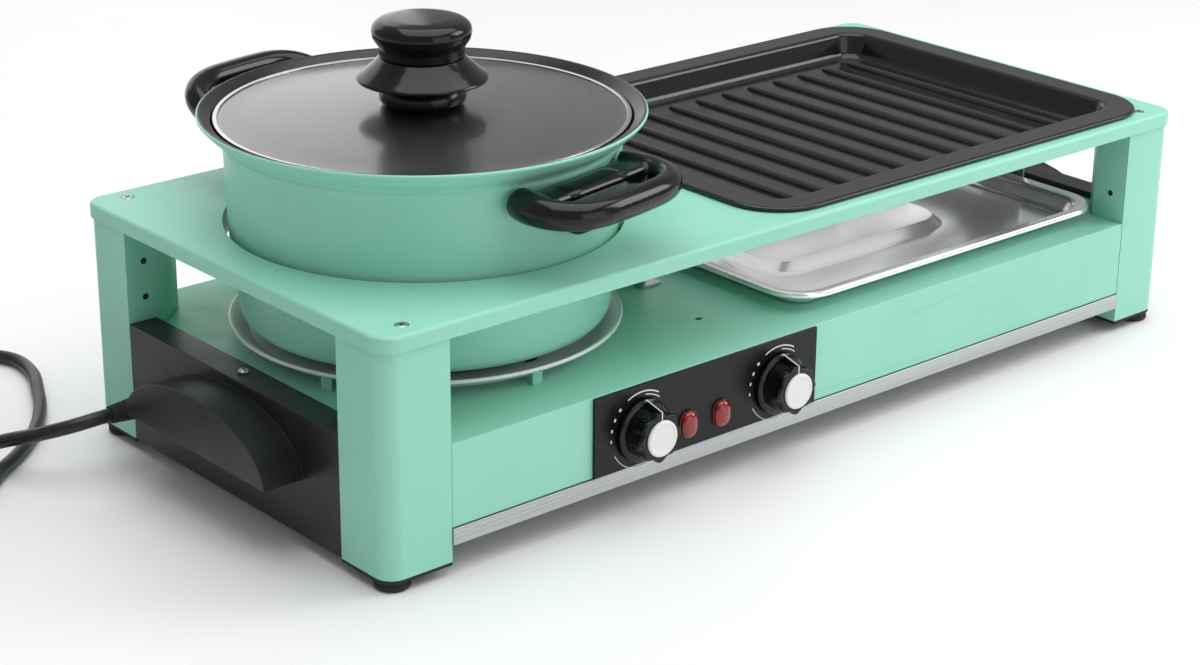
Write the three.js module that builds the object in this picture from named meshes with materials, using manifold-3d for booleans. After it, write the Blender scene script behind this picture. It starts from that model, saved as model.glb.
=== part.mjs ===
// Electric table grill: a long steel table frame with a hot pot on one side and a grill pan on the other.
// Millimetres, +Z up, +X to the right along the front, +Y to the back.
// The origin is the middle of the underside of the front left foot.
import * as THREE from 'three';
import { mergeVertices } from 'three/addons/utils/BufferGeometryUtils.js';
import Module from 'manifold-3d';

const wasm = await Module();
wasm.setup();

// Shared clearances and counts
const GAP = 0.3;
const OVERRUN = 4;
const ROUND_STEPS = 40;
const SMALL_ROUND_STEPS = 16;
const CORNER_STEPS = 5;
const HALF_TURN = Math.PI;
const QUARTER_TURN = Math.PI / 2;
const LEAST_FLAT = 0.1;
const LEAST_CORNER = 1;
const FULL_TURN = Math.PI * 2;
const MERGE_TOLERANCE = 1e-4;

// Overall frame
const BODY_LENGTH = 700;
const BODY_DEPTH = 316;
const FOOT_INSET = 12;
const MID_Y = BODY_DEPTH / 2;

// Feet and leg caps
const FOOT_RADIUS = 11;
const FOOT_HEIGHT = 6;
const FOOT_TAPER = 1;
const CAP_THICKNESS = 1.7;
const CAP_PLUG_HEIGHT = 8;
const LEG_BOTTOM = FOOT_HEIGHT + GAP + CAP_THICKNESS + GAP;

// Legs: folded sheet posts, five-sided in plan
const LEG_WIDTH = 47;
const LEG_DEPTH = 45;
const LEG_INNER = 28;
const LEG_CORNER_RADIUS = 12;
const LEG_SHEET = 1.5;
const LEG_OFFSET_SHARE = Math.SQRT2 - 1;

// Top plate: sheet with a folded-down edge
const PLATE_TOP = 159;
const PLATE_FOLD = 10;
const PLATE_SHEET = 1.5;
const PLATE_OVERHANG = PLATE_SHEET + GAP;
const PLATE_CORNER_RADIUS = LEG_CORNER_RADIUS + PLATE_OVERHANG;
const PLATE_BEND = 2.5;
const BEND_SHARE = 0.3;
const PLATE_UNDER = PLATE_TOP - PLATE_SHEET;
const LEG_TOP = PLATE_UNDER - GAP;

// Plate screws, one over each leg
const SCREW_INSET_X = 23;
const SCREW_INSET_Y = 13;
const SCREW_HEAD_RADIUS = 4.5;
const SCREW_HEAD_HEIGHT = 1.6;
const SCREW_HEAD_EDGE = 0.5;
const SCREW_SHANK_RADIUS = 1.8;
const SCREW_LENGTH = 14;

// Chassis box between the legs
const DECK_TOP = 83;
const CHASSIS_SHEET = 1.5;
const PANEL_BOTTOM = 30;
const TRIM_BOTTOM = 19;
const TRIM_PROUD = 1;
const TRIM_THICKNESS = 1.8;
const DECK_VENT_RADIUS = 2.5;
const DECK_VENT_X = 293;
const DECK_VENT_Y = 57;
const WIRE_HOLE_RADIUS = 12;

// End panels: black mouldings with a ledge on the deck and a half-oval handle hood
const END_THICKNESS = 3;
const LEDGE_WIDTH = 20;
const LEDGE_THICKNESS = 4.2;
const HOOD_HALF_WIDTH = 76;
const HOOD_HEIGHT = 36;
const HOOD_BASE = 46;
const HOOD_REACH = 28;
const HOOD_WALL = 3;
const HOOD_MID_Y = MID_Y;
const HOOD_STEPS = 20;
const LEDGE_SCREW_RADIUS = 3.6;
const LEDGE_SCREW_HEIGHT = 2.2;
const LEDGE_SCREW_SHANK = 1.5;
const LEDGE_SCREW_LENGTH = 11;
const LEDGE_SCREW_INSET = 11;
const LEDGE_SCREW_TOP_SHARE = 0.45;

// Control plate, dials and lamps
const CONTROL_LEFT = 154;
const CONTROL_RIGHT = 342;
const CONTROL_THICKNESS = 2;
const DIAL_X = [192, 308];
const DIAL_Z = 53;
const DIAL_BASE_RADIUS = 18.5;
const DIAL_FRONT_RADIUS = 15;
const DIAL_LENGTH = 17;
const DIAL_FLUTES = 12;
const DIAL_FLUTE_SHARE = 0.045;
const DIAL_STEPS = 60;
const DIAL_STANDOFF = 1;
const DIAL_EDGE = 1;
const DIAL_CAP_RADIUS = 11.7;
const DIAL_CAP_THICKNESS = 1.6;
const SHAFT_RADIUS = 3;
const SHAFT_CLEARANCE = 0.1;
const SHAFT_IN_DIAL = 12;
const SHAFT_IN_SWITCH = 10;
const SWITCH_WIDTH = 34;
const SWITCH_HEIGHT = 30;
const SWITCH_DEPTH = 24;
const LAMP_X = [230, 258];
const LAMP_Z = 46;
const LAMP_WIDTH = 13;
const LAMP_HEIGHT = 18;
const LAMP_PROUD = 5;
const LAMP_DEPTH = 12;
const LAMP_EDGE = 2.5;

// Hob under the pot
const RING_OUTER_RADIUS = 125;
const RING_LEDGE_GAP = 5;
const POT_X = LEDGE_WIDTH + RING_LEDGE_GAP + RING_OUTER_RADIUS;
const POT_Y = MID_Y;
const RING_TOP = 96;
const RING_LIP = 2.5;
const RING_FLAT_TOP = 88.5;
const RING_RIM_WIDTH = 12;
const RING_FLAT_RADIUS = RING_OUTER_RADIUS - RING_RIM_WIDTH;
const RING_FLAT_WIDTH = 12;
const RING_SKIRT_RADIUS = RING_FLAT_RADIUS - RING_FLAT_WIDTH;
const RING_THROAT_WIDTH = 7;
const RING_INNER_RADIUS = RING_SKIRT_RADIUS - RING_THROAT_WIDTH;
const RING_SHEET = 1.5;
const HOT_PLATE_CLEARANCE = 4;
const HOT_PLATE_RADIUS = RING_INNER_RADIUS - HOT_PLATE_CLEARANCE;
const HOT_PLATE_TOP = 94;
const HOT_PLATE_THICKNESS = 7;
const HOT_PLATE_BOSS_INSET = 12;
const HOT_PLATE_BOSS_RADIUS = HOT_PLATE_RADIUS - HOT_PLATE_BOSS_INSET;
const HOT_PLATE_DISH = 0.8;
const HOT_PLATE_EDGE = 2;
const HOT_PLATE_WELL_RADIUS = 18;

// Pot
const POT_WALL = 2.6;
const POT_BOTTOM = HOT_PLATE_TOP + GAP;
const POT_RADIUS = 124;
const POT_LEAN = 6.6;
const POT_BASE_ROUND = 10;
const POT_LOW_RADIUS = POT_RADIUS - POT_LEAN;
const POT_BASE_RADIUS = POT_LOW_RADIUS - POT_BASE_ROUND;
const POT_CORNER_HEIGHT = 9;
const POT_CORNER_SHARE = 0.25;
const POT_RIM_TOP = 229;
const POT_RIM_EDGE = 1.6;
const POT_FLARE_DEPTH = 15;
const POT_BEAD = 1.2;
const POT_BEAD_HEIGHT = 5;
const LID_SEAT_TOP = 220.5;
const LID_SEAT_SPREAD = 6.2;
const LID_SEAT_RADIUS = POT_RADIUS + LID_SEAT_SPREAD;
const POT_RIM_WIDTH = 9.3;
const POT_RIM_RADIUS = LID_SEAT_RADIUS + POT_RIM_WIDTH;
const PLATE_POT_CLEARANCE = 2;

// Pot handles: the front one level, the rear one cranked up
const HANDLE_TURN_DEGREES = 10;
const HANDLE_CRANK_DEGREES = 24;
const HANDLE_DROP = 18;
const HANDLE_TOP = POT_RIM_TOP - HANDLE_DROP;
const HANDLE_THICKNESS = 15;
const HANDLE_EDGE = 3;
const HANDLE_HALF_WIDTH = 61;
const HANDLE_REACH = 52;
const HANDLE_GRIP = 15;
const HANDLE_BASE_DEPTH = 15;
const HANDLE_CORNER = 33;
const LUG_HALF_WIDTH = 22;
const LUG_FOOT_HALF_WIDTH = 15;
const LUG_HEIGHT = 20;
const LUG_DEPTH = 12;
const BRACKET_HALF_WIDTH = 12;
const BRACKET_DEPTH = 3.5;
const BRACKET_HEIGHT = 11;
const BRACKET_DROP = 4;
const HANDLE_SCREW_RADIUS = 2;
const HANDLE_SCREW_HEAD_RADIUS = 3.6;
const HANDLE_SCREW_HEAD_HEIGHT = 2.4;

// Lid
const GLASS_THICKNESS = 3;
const BAND_SHEET = 0.6;
const LID_PLAY = 0.9;
const BAND_RADIUS = LID_SEAT_RADIUS - LID_PLAY;
const BAND_LIP = 5;
const GLASS_RISE = 6.2;
const GLASS_RIM = 8;
const GLASS_DOME_STEPS = 3;
const KNOB_BASE_RADIUS = 27;
const KNOB_WAIST_RADIUS = 24;
const KNOB_BASE_HEIGHT = 15;
const KNOB_BULGE_SHARE = 0.25;
const KNOB_COLLAR_RADIUS = 41;
const KNOB_COLLAR_EDGE = 3;
const KNOB_COLLAR_HEIGHT = 15;
const KNOB_NECK_RADIUS = 26.5;
const KNOB_NECK_HEIGHT = 15;
const KNOB_TOP_RADIUS = 31.3;
const KNOB_TOP_HEIGHT = 9.5;
const KNOB_SCREW_RADIUS = 2.5;
const KNOB_SCREW_HEAD_RADIUS = 7;
const KNOB_SCREW_HEAD_HEIGHT = 2.5;
const KNOB_SCREW_DEPTH = 10;

// Grill pan: it fills the frame to the right of the pot
const PAN_POT_GAP = 32;
const PAN_END_MARGIN = 10;
const PAN_SIDE_MARGIN = 6;
const PAN_LEFT = POT_X + POT_RADIUS + PLATE_POT_CLEARANCE + PAN_POT_GAP;
const PAN_LENGTH = BODY_LENGTH - PAN_END_MARGIN - PAN_LEFT;
const PAN_DEPTH = BODY_DEPTH - PAN_SIDE_MARGIN * 2;
const PAN_X = PAN_LEFT + PAN_LENGTH / 2;
const PAN_Y = MID_Y;
const PAN_CORNER_RADIUS = 40;
const PAN_RIM_TOP = 162.5;
const PAN_RIM_WIDTH = 21;
const PAN_WALL = 3;
const PAN_WALL_LEAN = 5;
const PAN_FLOOR_TOP = 144;
const PAN_FLOOR_THICKNESS = 3.2;
const PAN_FLOOR_CORNER = 3;
const PAN_RIM_EDGE = 1;
const PAN_THROAT_SHARE = 1 / 3;
const PAN_OPENING_CLEARANCE = 1.5;
const RIB_COUNT = 12;
const RIB_SIDE_MARGIN = 19.25;
const RIB_WIDTH = 7;
const RIB_HEIGHT = 3.5;
const RIB_TOP_SHARE = 0.45;
const RIB_END_MARGIN = 14;

// Drip tray under the pan, with margins to the pan, the frame and its own raised step
const TRAY_LEFT_MARGIN = 32;
const TRAY_RIGHT_MARGIN = 50;
const TRAY_SIDE_MARGIN = 14;
const TRAY_LEFT = PAN_LEFT + TRAY_LEFT_MARGIN;
const TRAY_RIGHT = BODY_LENGTH - TRAY_RIGHT_MARGIN;
const TRAY_LENGTH = TRAY_RIGHT - TRAY_LEFT;
const TRAY_DEPTH = BODY_DEPTH - TRAY_SIDE_MARGIN * 2;
const TRAY_X = TRAY_LEFT + TRAY_LENGTH / 2;
const TRAY_Y = MID_Y;
const TRAY_CORNER_RADIUS = 30;
const TRAY_RIM_TOP = 96.5;
const TRAY_RIM_WIDTH = 9;
const TRAY_SHEET = 1.3;
const TRAY_SLOPE = 9;
const TRAY_LIP = 3.9;
const TRAY_LIP_INNER = 2.6;
const TRAY_STEP_LEFT = 41;
const TRAY_STEP_RIGHT = 89;
const TRAY_STEP_FRONT = 59;
const TRAY_STEP_REAR = 39;
const TRAY_STEP_LENGTH = TRAY_LENGTH - TRAY_STEP_LEFT - TRAY_STEP_RIGHT;
const TRAY_STEP_DEPTH = TRAY_DEPTH - TRAY_STEP_FRONT - TRAY_STEP_REAR;
const TRAY_STEP_SHIFT_X = (TRAY_STEP_LEFT - TRAY_STEP_RIGHT) / 2;
const TRAY_STEP_SHIFT_Y = (TRAY_STEP_FRONT - TRAY_STEP_REAR) / 2;
const TRAY_STEP_SLOPE = 7;
const TRAY_STEP_HEIGHT = 6;

// Grill heater over the tray
const HEATER_RADIUS = 4;
const HEATER_Z = 122;
const HEATER_END_MARGIN = 10;
const HEATER_FOLD_SHIFT = 70;
const HEATER_LEFT = TRAY_LEFT + HEATER_END_MARGIN;
const HEATER_FOLD = HEATER_LEFT + HEATER_FOLD_SHIFT;
const HEATER_RIGHT = TRAY_RIGHT - HEATER_END_MARGIN;
const HEATER_OUTER_HALF = 84;
const HEATER_INNER_HALF = 28;
const HEATER_BEND = 22;
const HEATER_SIDES = 8;
const HEATER_STEPS = 84;
const HEATER_TERMINAL = 14;
const HEATER_BRACKET_TRAY_GAP = 38;
const HEATER_BRACKET_X = TRAY_LEFT - HEATER_BRACKET_TRAY_GAP;
const HEATER_BRACKET_THICKNESS = 2;
const HEATER_BRACKET_FOOT = 14;
const HEATER_BRACKET_MARGIN = 12;
const REST_TRAY_GAP = 10;
const REST_X = TRAY_RIGHT + REST_TRAY_GAP;
const REST_THICKNESS = 2;
const REST_FOOT = 14;
const REST_MARGIN = 8;

// Wiring inside the chassis
const TERMINAL_X = 40;
const TERMINAL_REAR_MARGIN = 66;
const TERMINAL_Y = BODY_DEPTH - TERMINAL_REAR_MARGIN;
const TERMINAL_LENGTH = 22;
const TERMINAL_DEPTH = 16;
const TERMINAL_HEIGHT = 16;

// Mains cord: exit through the left end panel
const CORD_DIAMETER = 9;
const CORD_RADIUS = CORD_DIAMETER / 2;
const CORD_SIDES = 8;
const CORD_STEPS = 38;
const CORD_REAR_MARGIN = 66;
const CORD_EXIT_Y = BODY_DEPTH - CORD_REAR_MARGIN;
const CORD_EXIT_Z = 40;
const RELIEF_LENGTH = 30;
const RELIEF_BASE_RADIUS = 8;
const RELIEF_TIP_RADIUS = 5.6;
const RELIEF_PLUG_RADIUS = 6;
const RELIEF_COLLAR = 3;
const RELIEF_INSIDE = 12;
const RELIEF_COLLAR_RADIUS = 9;
const CORD_FLOOR_Z = CORD_RADIUS + GAP / 2;
const CORD_ROUTE = [
  [-RELIEF_LENGTH - GAP, CORD_EXIT_Y, CORD_EXIT_Z],
  [-38, CORD_EXIT_Y, CORD_EXIT_Z],
  [-54, 254.5, 37.6],
  [-69, 270, 31],
  [-78, 293, 22],
  [-87, 317, 12],
  [-97, 342, 5.6],
  [-106, 370, CORD_FLOOR_Z],
  [-110, 405, CORD_FLOOR_Z],
  [-100, 440, CORD_FLOOR_Z],
  [-75, 468, CORD_FLOOR_Z],
  [-40, 481, CORD_FLOOR_Z],
  [-6, 474, CORD_FLOOR_Z],
  [11, 450, CORD_FLOOR_Z],
  [9, 421, CORD_FLOOR_Z],
  [-4, 390, CORD_FLOOR_Z],
  [-20, 359, CORD_FLOOR_Z],
  [-41, 330, CORD_FLOOR_Z],
  [-64, 307, CORD_FLOOR_Z],
  [-88, 289, CORD_FLOOR_Z],
];

// Cord coil and plug, lying to the left of the body
const COIL_X = -169.6;
const COIL_Y = 303.1;
const COIL_INNER_RADIUS = 46;
const COIL_SPREAD = 11.2;
const COIL_LAYER = 9.9;
const COIL_TURNS = 3;
const COIL_CLIMB_TURNS = 0.5;
const COIL_STEPS_PER_TURN = 24;
const COIL_SIDES = 6;
const COIL_START_ANGLE = THREE.MathUtils.degToRad(-55);
const COIL_TAIL = 38;
const COIL_LEADS = [45, 27, CORD_DIAMETER + GAP];
const PLUG_NECK_LENGTH = 20;
const PLUG_LENGTH = 36;
const PLUG_WIDTH = 36;
const PLUG_CORNER_RADIUS = 9;
const PLUG_EDGE = 2;
const PLUG_NECK_RADIUS = 7;
const PLUG_PIN_RADIUS = 2.4;
const PLUG_PIN_LENGTH = 19;
const PLUG_PIN_SPACING = 19;

function paint(colour, roughness, metalness) {
  return new THREE.MeshStandardMaterial({ color: colour, roughness, metalness });
}

const paints = {
  mint: paint(0x9bd9c3, 0.42, 0.1),
  blackPlastic: paint(0x1d1c1c, 0.38, 0),
  glossBlack: paint(0x0e0e0e, 0.15, 0),
  steel: paint(0xb9bbbd, 0.28, 0.9),
  brushed: paint(0xc8cbcc, 0.4, 0.85),
  rubber: paint(0x141414, 0.85, 0),
  enamel: paint(0x1b1a1a, 0.2, 0.1),
  potMint: paint(0x8fd8c0, 0.3, 0.1),
  glass: paint(0x6a7073, 0.08, 0),
  white: paint(0xe9e9e6, 0.35, 0.1),
  red: paint(0x9c0b0f, 0.15, 0),
  iron: paint(0x3a3a3b, 0.65, 0.6),
  heater: paint(0x5b5650, 0.5, 0.7),
  cord: paint(0x171717, 0.5, 0),
};

// Closed solids and their joins and cuts
function signedVolume(geometry) {
  const index = geometry.index.array;
  const position = geometry.attributes.position;
  const a = new THREE.Vector3();
  const b = new THREE.Vector3();
  const c = new THREE.Vector3();
  let sum = 0;
  for (let i = 0; i < index.length; i += 3) {
    a.fromBufferAttribute(position, index[i]);
    b.fromBufferAttribute(position, index[i + 1]);
    c.fromBufferAttribute(position, index[i + 2]);
    sum += a.dot(b.cross(c));
  }
  return sum;
}

function solidOf(geometry) {
  const bare = geometry.clone();
  bare.deleteAttribute('normal');
  bare.deleteAttribute('uv');
  const merged = mergeVertices(bare, MERGE_TOLERANCE);
  const triVerts = new Uint32Array(merged.index.array);
  if (signedVolume(merged) < 0) {
    for (let i = 0; i < triVerts.length; i += 3) {
      [triVerts[i], triVerts[i + 1]] = [triVerts[i + 1], triVerts[i]];
    }
  }
  const vertProperties = new Float32Array(merged.attributes.position.array);
  return new wasm.Manifold(new wasm.Mesh({ numProp: 3, vertProperties, triVerts }));
}

function geometryOf(solid) {
  const mesh = solid.getMesh();
  const geometry = new THREE.BufferGeometry();
  geometry.setAttribute('position', new THREE.BufferAttribute(new Float32Array(mesh.vertProperties), 3));
  geometry.setIndex(new THREE.BufferAttribute(new Uint32Array(mesh.triVerts), 1));
  geometry.computeVertexNormals();
  return geometry;
}

function cut(base, ...tools) {
  return tools.reduce((left, tool) => left.subtract(tool), base);
}

function join(base, ...others) {
  return others.reduce((left, other) => left.add(other), base);
}

function block(x0, x1, y0, y1, z0, z1) {
  const geometry = new THREE.BoxGeometry(x1 - x0, y1 - y0, z1 - z0);
  geometry.translate((x0 + x1) / 2, (y0 + y1) / 2, (z0 + z1) / 2);
  return solidOf(geometry);
}

function rod(radius, z0, z1, steps = SMALL_ROUND_STEPS) {
  const geometry = new THREE.CylinderGeometry(radius, radius, z1 - z0, steps);
  geometry.rotateX(QUARTER_TURN);
  geometry.translate(0, 0, (z0 + z1) / 2);
  return solidOf(geometry);
}

// A straight prism from a plan outline
function prism(shape, z0, z1, steps = CORNER_STEPS) {
  const geometry = new THREE.ExtrudeGeometry(shape, {
    depth: z1 - z0,
    bevelEnabled: false,
    curveSegments: steps,
  });
  geometry.translate(0, 0, z0);
  return solidOf(geometry);
}

// A solid turned about Z from [radius, height] pairs
function turned(profile, steps = ROUND_STEPS) {
  const geometry = new THREE.LatheGeometry(profile.map(([r, z]) => new THREE.Vector2(r, z)), steps);
  geometry.rotateX(QUARTER_TURN);
  return solidOf(geometry);
}

// A closed skin through rings of equal point counts, capped at both ends
function lofted(rings) {
  const count = rings[0].length;
  const positions = [];
  const index = [];
  for (const ring of rings) {
    for (const point of ring) positions.push(point.x, point.y, point.z);
  }
  for (let k = 0; k + 1 < rings.length; k += 1) {
    for (let i = 0; i < count; i += 1) {
      const j = (i + 1) % count;
      const low = k * count;
      const high = low + count;
      index.push(low + i, low + j, high + j, low + i, high + j, high + i);
    }
  }
  for (const [k, turn] of [[0, false], [rings.length - 1, true]]) {
    const middle = new THREE.Vector3();
    for (const point of rings[k]) middle.addScaledVector(point, 1 / count);
    const centre = positions.length / 3;
    positions.push(middle.x, middle.y, middle.z);
    for (let i = 0; i < count; i += 1) {
      const a = k * count + i;
      const b = k * count + ((i + 1) % count);
      if (turn) index.push(centre, a, b);
      else index.push(centre, b, a);
    }
  }
  const geometry = new THREE.BufferGeometry();
  geometry.setAttribute('position', new THREE.Float32BufferAttribute(positions, 3));
  geometry.setIndex(index);
  return solidOf(geometry);
}

// One ring of a rounded rectangle about the origin, drawn in by an inset
function rectangleRing(width, depth, radius, inset, z) {
  const points = [];
  const widest = Math.min(width, depth) / 2 - inset - LEAST_FLAT;
  const r = Math.min(Math.max(radius - inset, LEAST_CORNER), widest);
  const halfWidth = width / 2 - inset - r;
  const halfDepth = depth / 2 - inset - r;
  const corners = [[1, 1, 0], [-1, 1, 1], [-1, -1, 2], [1, -1, 3]];
  for (const [sx, sy, quarter] of corners) {
    for (let i = 0; i <= CORNER_STEPS; i += 1) {
      const angle = (quarter + i / CORNER_STEPS) * QUARTER_TURN;
      points.push(new THREE.Vector3(
        sx * halfWidth + r * Math.cos(angle),
        sy * halfDepth + r * Math.sin(angle),
        z,
      ));
    }
  }
  return points;
}

function rectangleBody(width, depth, radius, profile) {
  return lofted(profile.map(([inset, z]) => rectangleRing(width, depth, radius, inset, z)));
}

function tube(curve, radius, sides, steps) {
  const section = new THREE.Shape();
  for (let i = 0; i < sides; i += 1) {
    const angle = (i * FULL_TURN) / sides;
    if (i === 0) section.moveTo(radius * Math.cos(angle), radius * Math.sin(angle));
    else section.lineTo(radius * Math.cos(angle), radius * Math.sin(angle));
  }
  section.closePath();
  const geometry = new THREE.ExtrudeGeometry(section, { steps, extrudePath: curve, bevelEnabled: false });
  return solidOf(geometry);
}

const body = new THREE.Group();
body.position.set(-FOOT_INSET, -FOOT_INSET, 0);

function add(parent, name, solid, material) {
  const mesh = new THREE.Mesh(geometryOf(solid), material.clone());
  mesh.name = name;
  parent.add(mesh);
  return mesh;
}

const corners = [
  ['front_left', 0, 0, 1, 1],
  ['front_right', BODY_LENGTH, 0, -1, 1],
  ['rear_left', 0, BODY_DEPTH, 1, -1],
  ['rear_right', BODY_LENGTH, BODY_DEPTH, -1, -1],
];

// Plan outline of a leg from its outer corner, drawn in by an inset
function legOutline(inset, radius = LEG_CORNER_RADIUS - inset) {
  const shape = new THREE.Shape();
  const step = inset * LEG_OFFSET_SHARE;
  shape.moveTo(inset + radius, inset);
  shape.lineTo(LEG_WIDTH - inset, inset);
  shape.lineTo(LEG_WIDTH - inset, LEG_INNER - step);
  shape.lineTo(LEG_INNER - step, LEG_DEPTH - inset);
  shape.lineTo(inset, LEG_DEPTH - inset);
  shape.lineTo(inset, inset + radius);
  shape.absarc(inset + radius, inset + radius, radius, HALF_TURN, HALF_TURN + QUARTER_TURN, false);
  return shape;
}

function mirrored(solid, x, y, sx, sy) {
  return solid.scale([sx, sy, 1]).translate([x, y, 0]);
}

function panBodyInset() {
  return PAN_RIM_WIDTH - PAN_WALL;
}

// The space that the pan's body needs below its rim, in the top plate and at the two right legs
function panSpace() {
  const inset = panBodyInset() - PAN_OPENING_CLEARANCE;
  return rectangleBody(PAN_LENGTH, PAN_DEPTH, PAN_CORNER_RADIUS, [
    [inset, PAN_FLOOR_TOP - PAN_FLOOR_THICKNESS - OVERRUN],
    [inset, PLATE_TOP + OVERRUN],
  ]).translate([PAN_X, PAN_Y, 0]);
}

function buildLegs() {
  const space = panSpace();
  for (const [place, x, y, sx, sy] of corners) {
    const outside = prism(legOutline(0), LEG_BOTTOM, LEG_TOP);
    const inside = prism(legOutline(LEG_SHEET), LEG_BOTTOM - OVERRUN, LEG_TOP - LEG_SHEET);
    const hole = rod(SCREW_SHANK_RADIUS + GAP, LEG_TOP - OVERRUN, LEG_TOP + OVERRUN);
    const post = cut(outside, inside, hole.translate([SCREW_INSET_X, SCREW_INSET_Y, 0]));
    add(body, `leg_${place}`, cut(mirrored(post, x, y, sx, sy), space), paints.mint);

    const capTop = LEG_BOTTOM - GAP;
    const sole = prism(legOutline(0), capTop - CAP_THICKNESS, capTop);
    const plug = prism(legOutline(LEG_SHEET + GAP), capTop - CAP_THICKNESS / 2, capTop + CAP_PLUG_HEIGHT);
    add(body, `leg_cap_${place}`, mirrored(join(sole, plug), x, y, sx, sy), paints.blackPlastic);

    const foot = turned([
      [0, 0],
      [FOOT_RADIUS - FOOT_TAPER, 0],
      [FOOT_RADIUS, FOOT_TAPER],
      [FOOT_RADIUS, FOOT_HEIGHT],
      [0, FOOT_HEIGHT],
    ], SMALL_ROUND_STEPS).translate([FOOT_INSET, FOOT_INSET, 0]);
    add(body, `foot_${place}`, mirrored(foot, x, y, sx, sy), paints.rubber);

    const headTop = PLATE_TOP;
    const screw = turned([
      [0, headTop],
      [SCREW_HEAD_RADIUS - SCREW_HEAD_EDGE, headTop],
      [SCREW_HEAD_RADIUS - SCREW_HEAD_EDGE, headTop - SCREW_HEAD_EDGE],
      [SCREW_SHANK_RADIUS, headTop - SCREW_HEAD_HEIGHT],
      [SCREW_SHANK_RADIUS, headTop - SCREW_LENGTH],
      [0, headTop - SCREW_LENGTH],
    ], SMALL_ROUND_STEPS).translate([SCREW_INSET_X, SCREW_INSET_Y, 0]);
    add(body, `plate_screw_${place}`, mirrored(screw, x, y, sx, sy), paints.steel);
  }
}

// The legs' outlines with a gap, which the sheets between them are cut back from
function legClearance() {
  return corners.map(([, x, y, sx, sy]) => (
    mirrored(prism(legOutline(-GAP, GAP), LEG_BOTTOM - OVERRUN, LEG_TOP), x, y, sx, sy)
  ));
}

function buildTopPlate() {
  const width = BODY_LENGTH + PLATE_OVERHANG * 2;
  const depth = BODY_DEPTH + PLATE_OVERHANG * 2;
  const middle = [BODY_LENGTH / 2, MID_Y, 0];
  const outside = rectangleBody(width, depth, PLATE_CORNER_RADIUS, [
    [0, PLATE_TOP - PLATE_FOLD],
    [0, PLATE_TOP - PLATE_BEND],
    [PLATE_BEND * BEND_SHARE, PLATE_TOP - PLATE_BEND * BEND_SHARE],
    [PLATE_BEND, PLATE_TOP],
  ]).translate(middle);
  const inside = rectangleBody(width, depth, PLATE_CORNER_RADIUS, [
    [PLATE_SHEET, PLATE_TOP - PLATE_FOLD - OVERRUN],
    [PLATE_SHEET, PLATE_UNDER],
  ]).translate(middle);
  const potHoleRadius = POT_RADIUS + PLATE_POT_CLEARANCE;
  const potHole = rod(potHoleRadius, PLATE_UNDER - OVERRUN, PLATE_TOP + OVERRUN, ROUND_STEPS)
    .translate([POT_X, POT_Y, 0]);
  const holes = corners.map(([, x, y, sx, sy]) => {
    const hole = turned([
      [0, PLATE_TOP + OVERRUN],
      [SCREW_HEAD_RADIUS + GAP, PLATE_TOP + OVERRUN],
      [SCREW_HEAD_RADIUS + GAP, PLATE_TOP - SCREW_HEAD_EDGE - GAP],
      [SCREW_SHANK_RADIUS + GAP, PLATE_TOP - SCREW_HEAD_HEIGHT - GAP],
      [SCREW_SHANK_RADIUS + GAP, PLATE_UNDER - OVERRUN],
      [0, PLATE_UNDER - OVERRUN],
    ], SMALL_ROUND_STEPS).translate([SCREW_INSET_X, SCREW_INSET_Y, 0]);
    return mirrored(hole, x, y, sx, sy);
  });
  add(body, 'top_plate', cut(outside, inside, potHole, panSpace(), ...holes), paints.mint);
}

// Holes through the front for the dial shafts and the lamps
function frontHoles(y0, y1) {
  const shafts = DIAL_X.map((x) => (
    rod(SHAFT_RADIUS + GAP, -y1, -y0).rotate([90, 0, 0]).translate([x, 0, DIAL_Z])
  ));
  const lamps = LAMP_X.map((x) => lampBody(GAP, -y1, -y0, 0).translate([x, 0, LAMP_Z]));
  return [...shafts, ...lamps];
}

// An oval lamp body lying along Y, grown by a margin, from the depths y = -z1 to -z0
function lampBody(margin, z0, z1, edge) {
  const width = LAMP_WIDTH + margin * 2;
  const height = LAMP_HEIGHT + margin * 2;
  const rings = edge > 0
    ? [[0, z0], [0, z1 - edge], [edge * BEND_SHARE, z1 - edge * BEND_SHARE], [edge, z1]]
    : [[0, z0], [0, z1]];
  return rectangleBody(width, height, width / 2, rings).rotate([90, 0, 0]);
}

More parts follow.
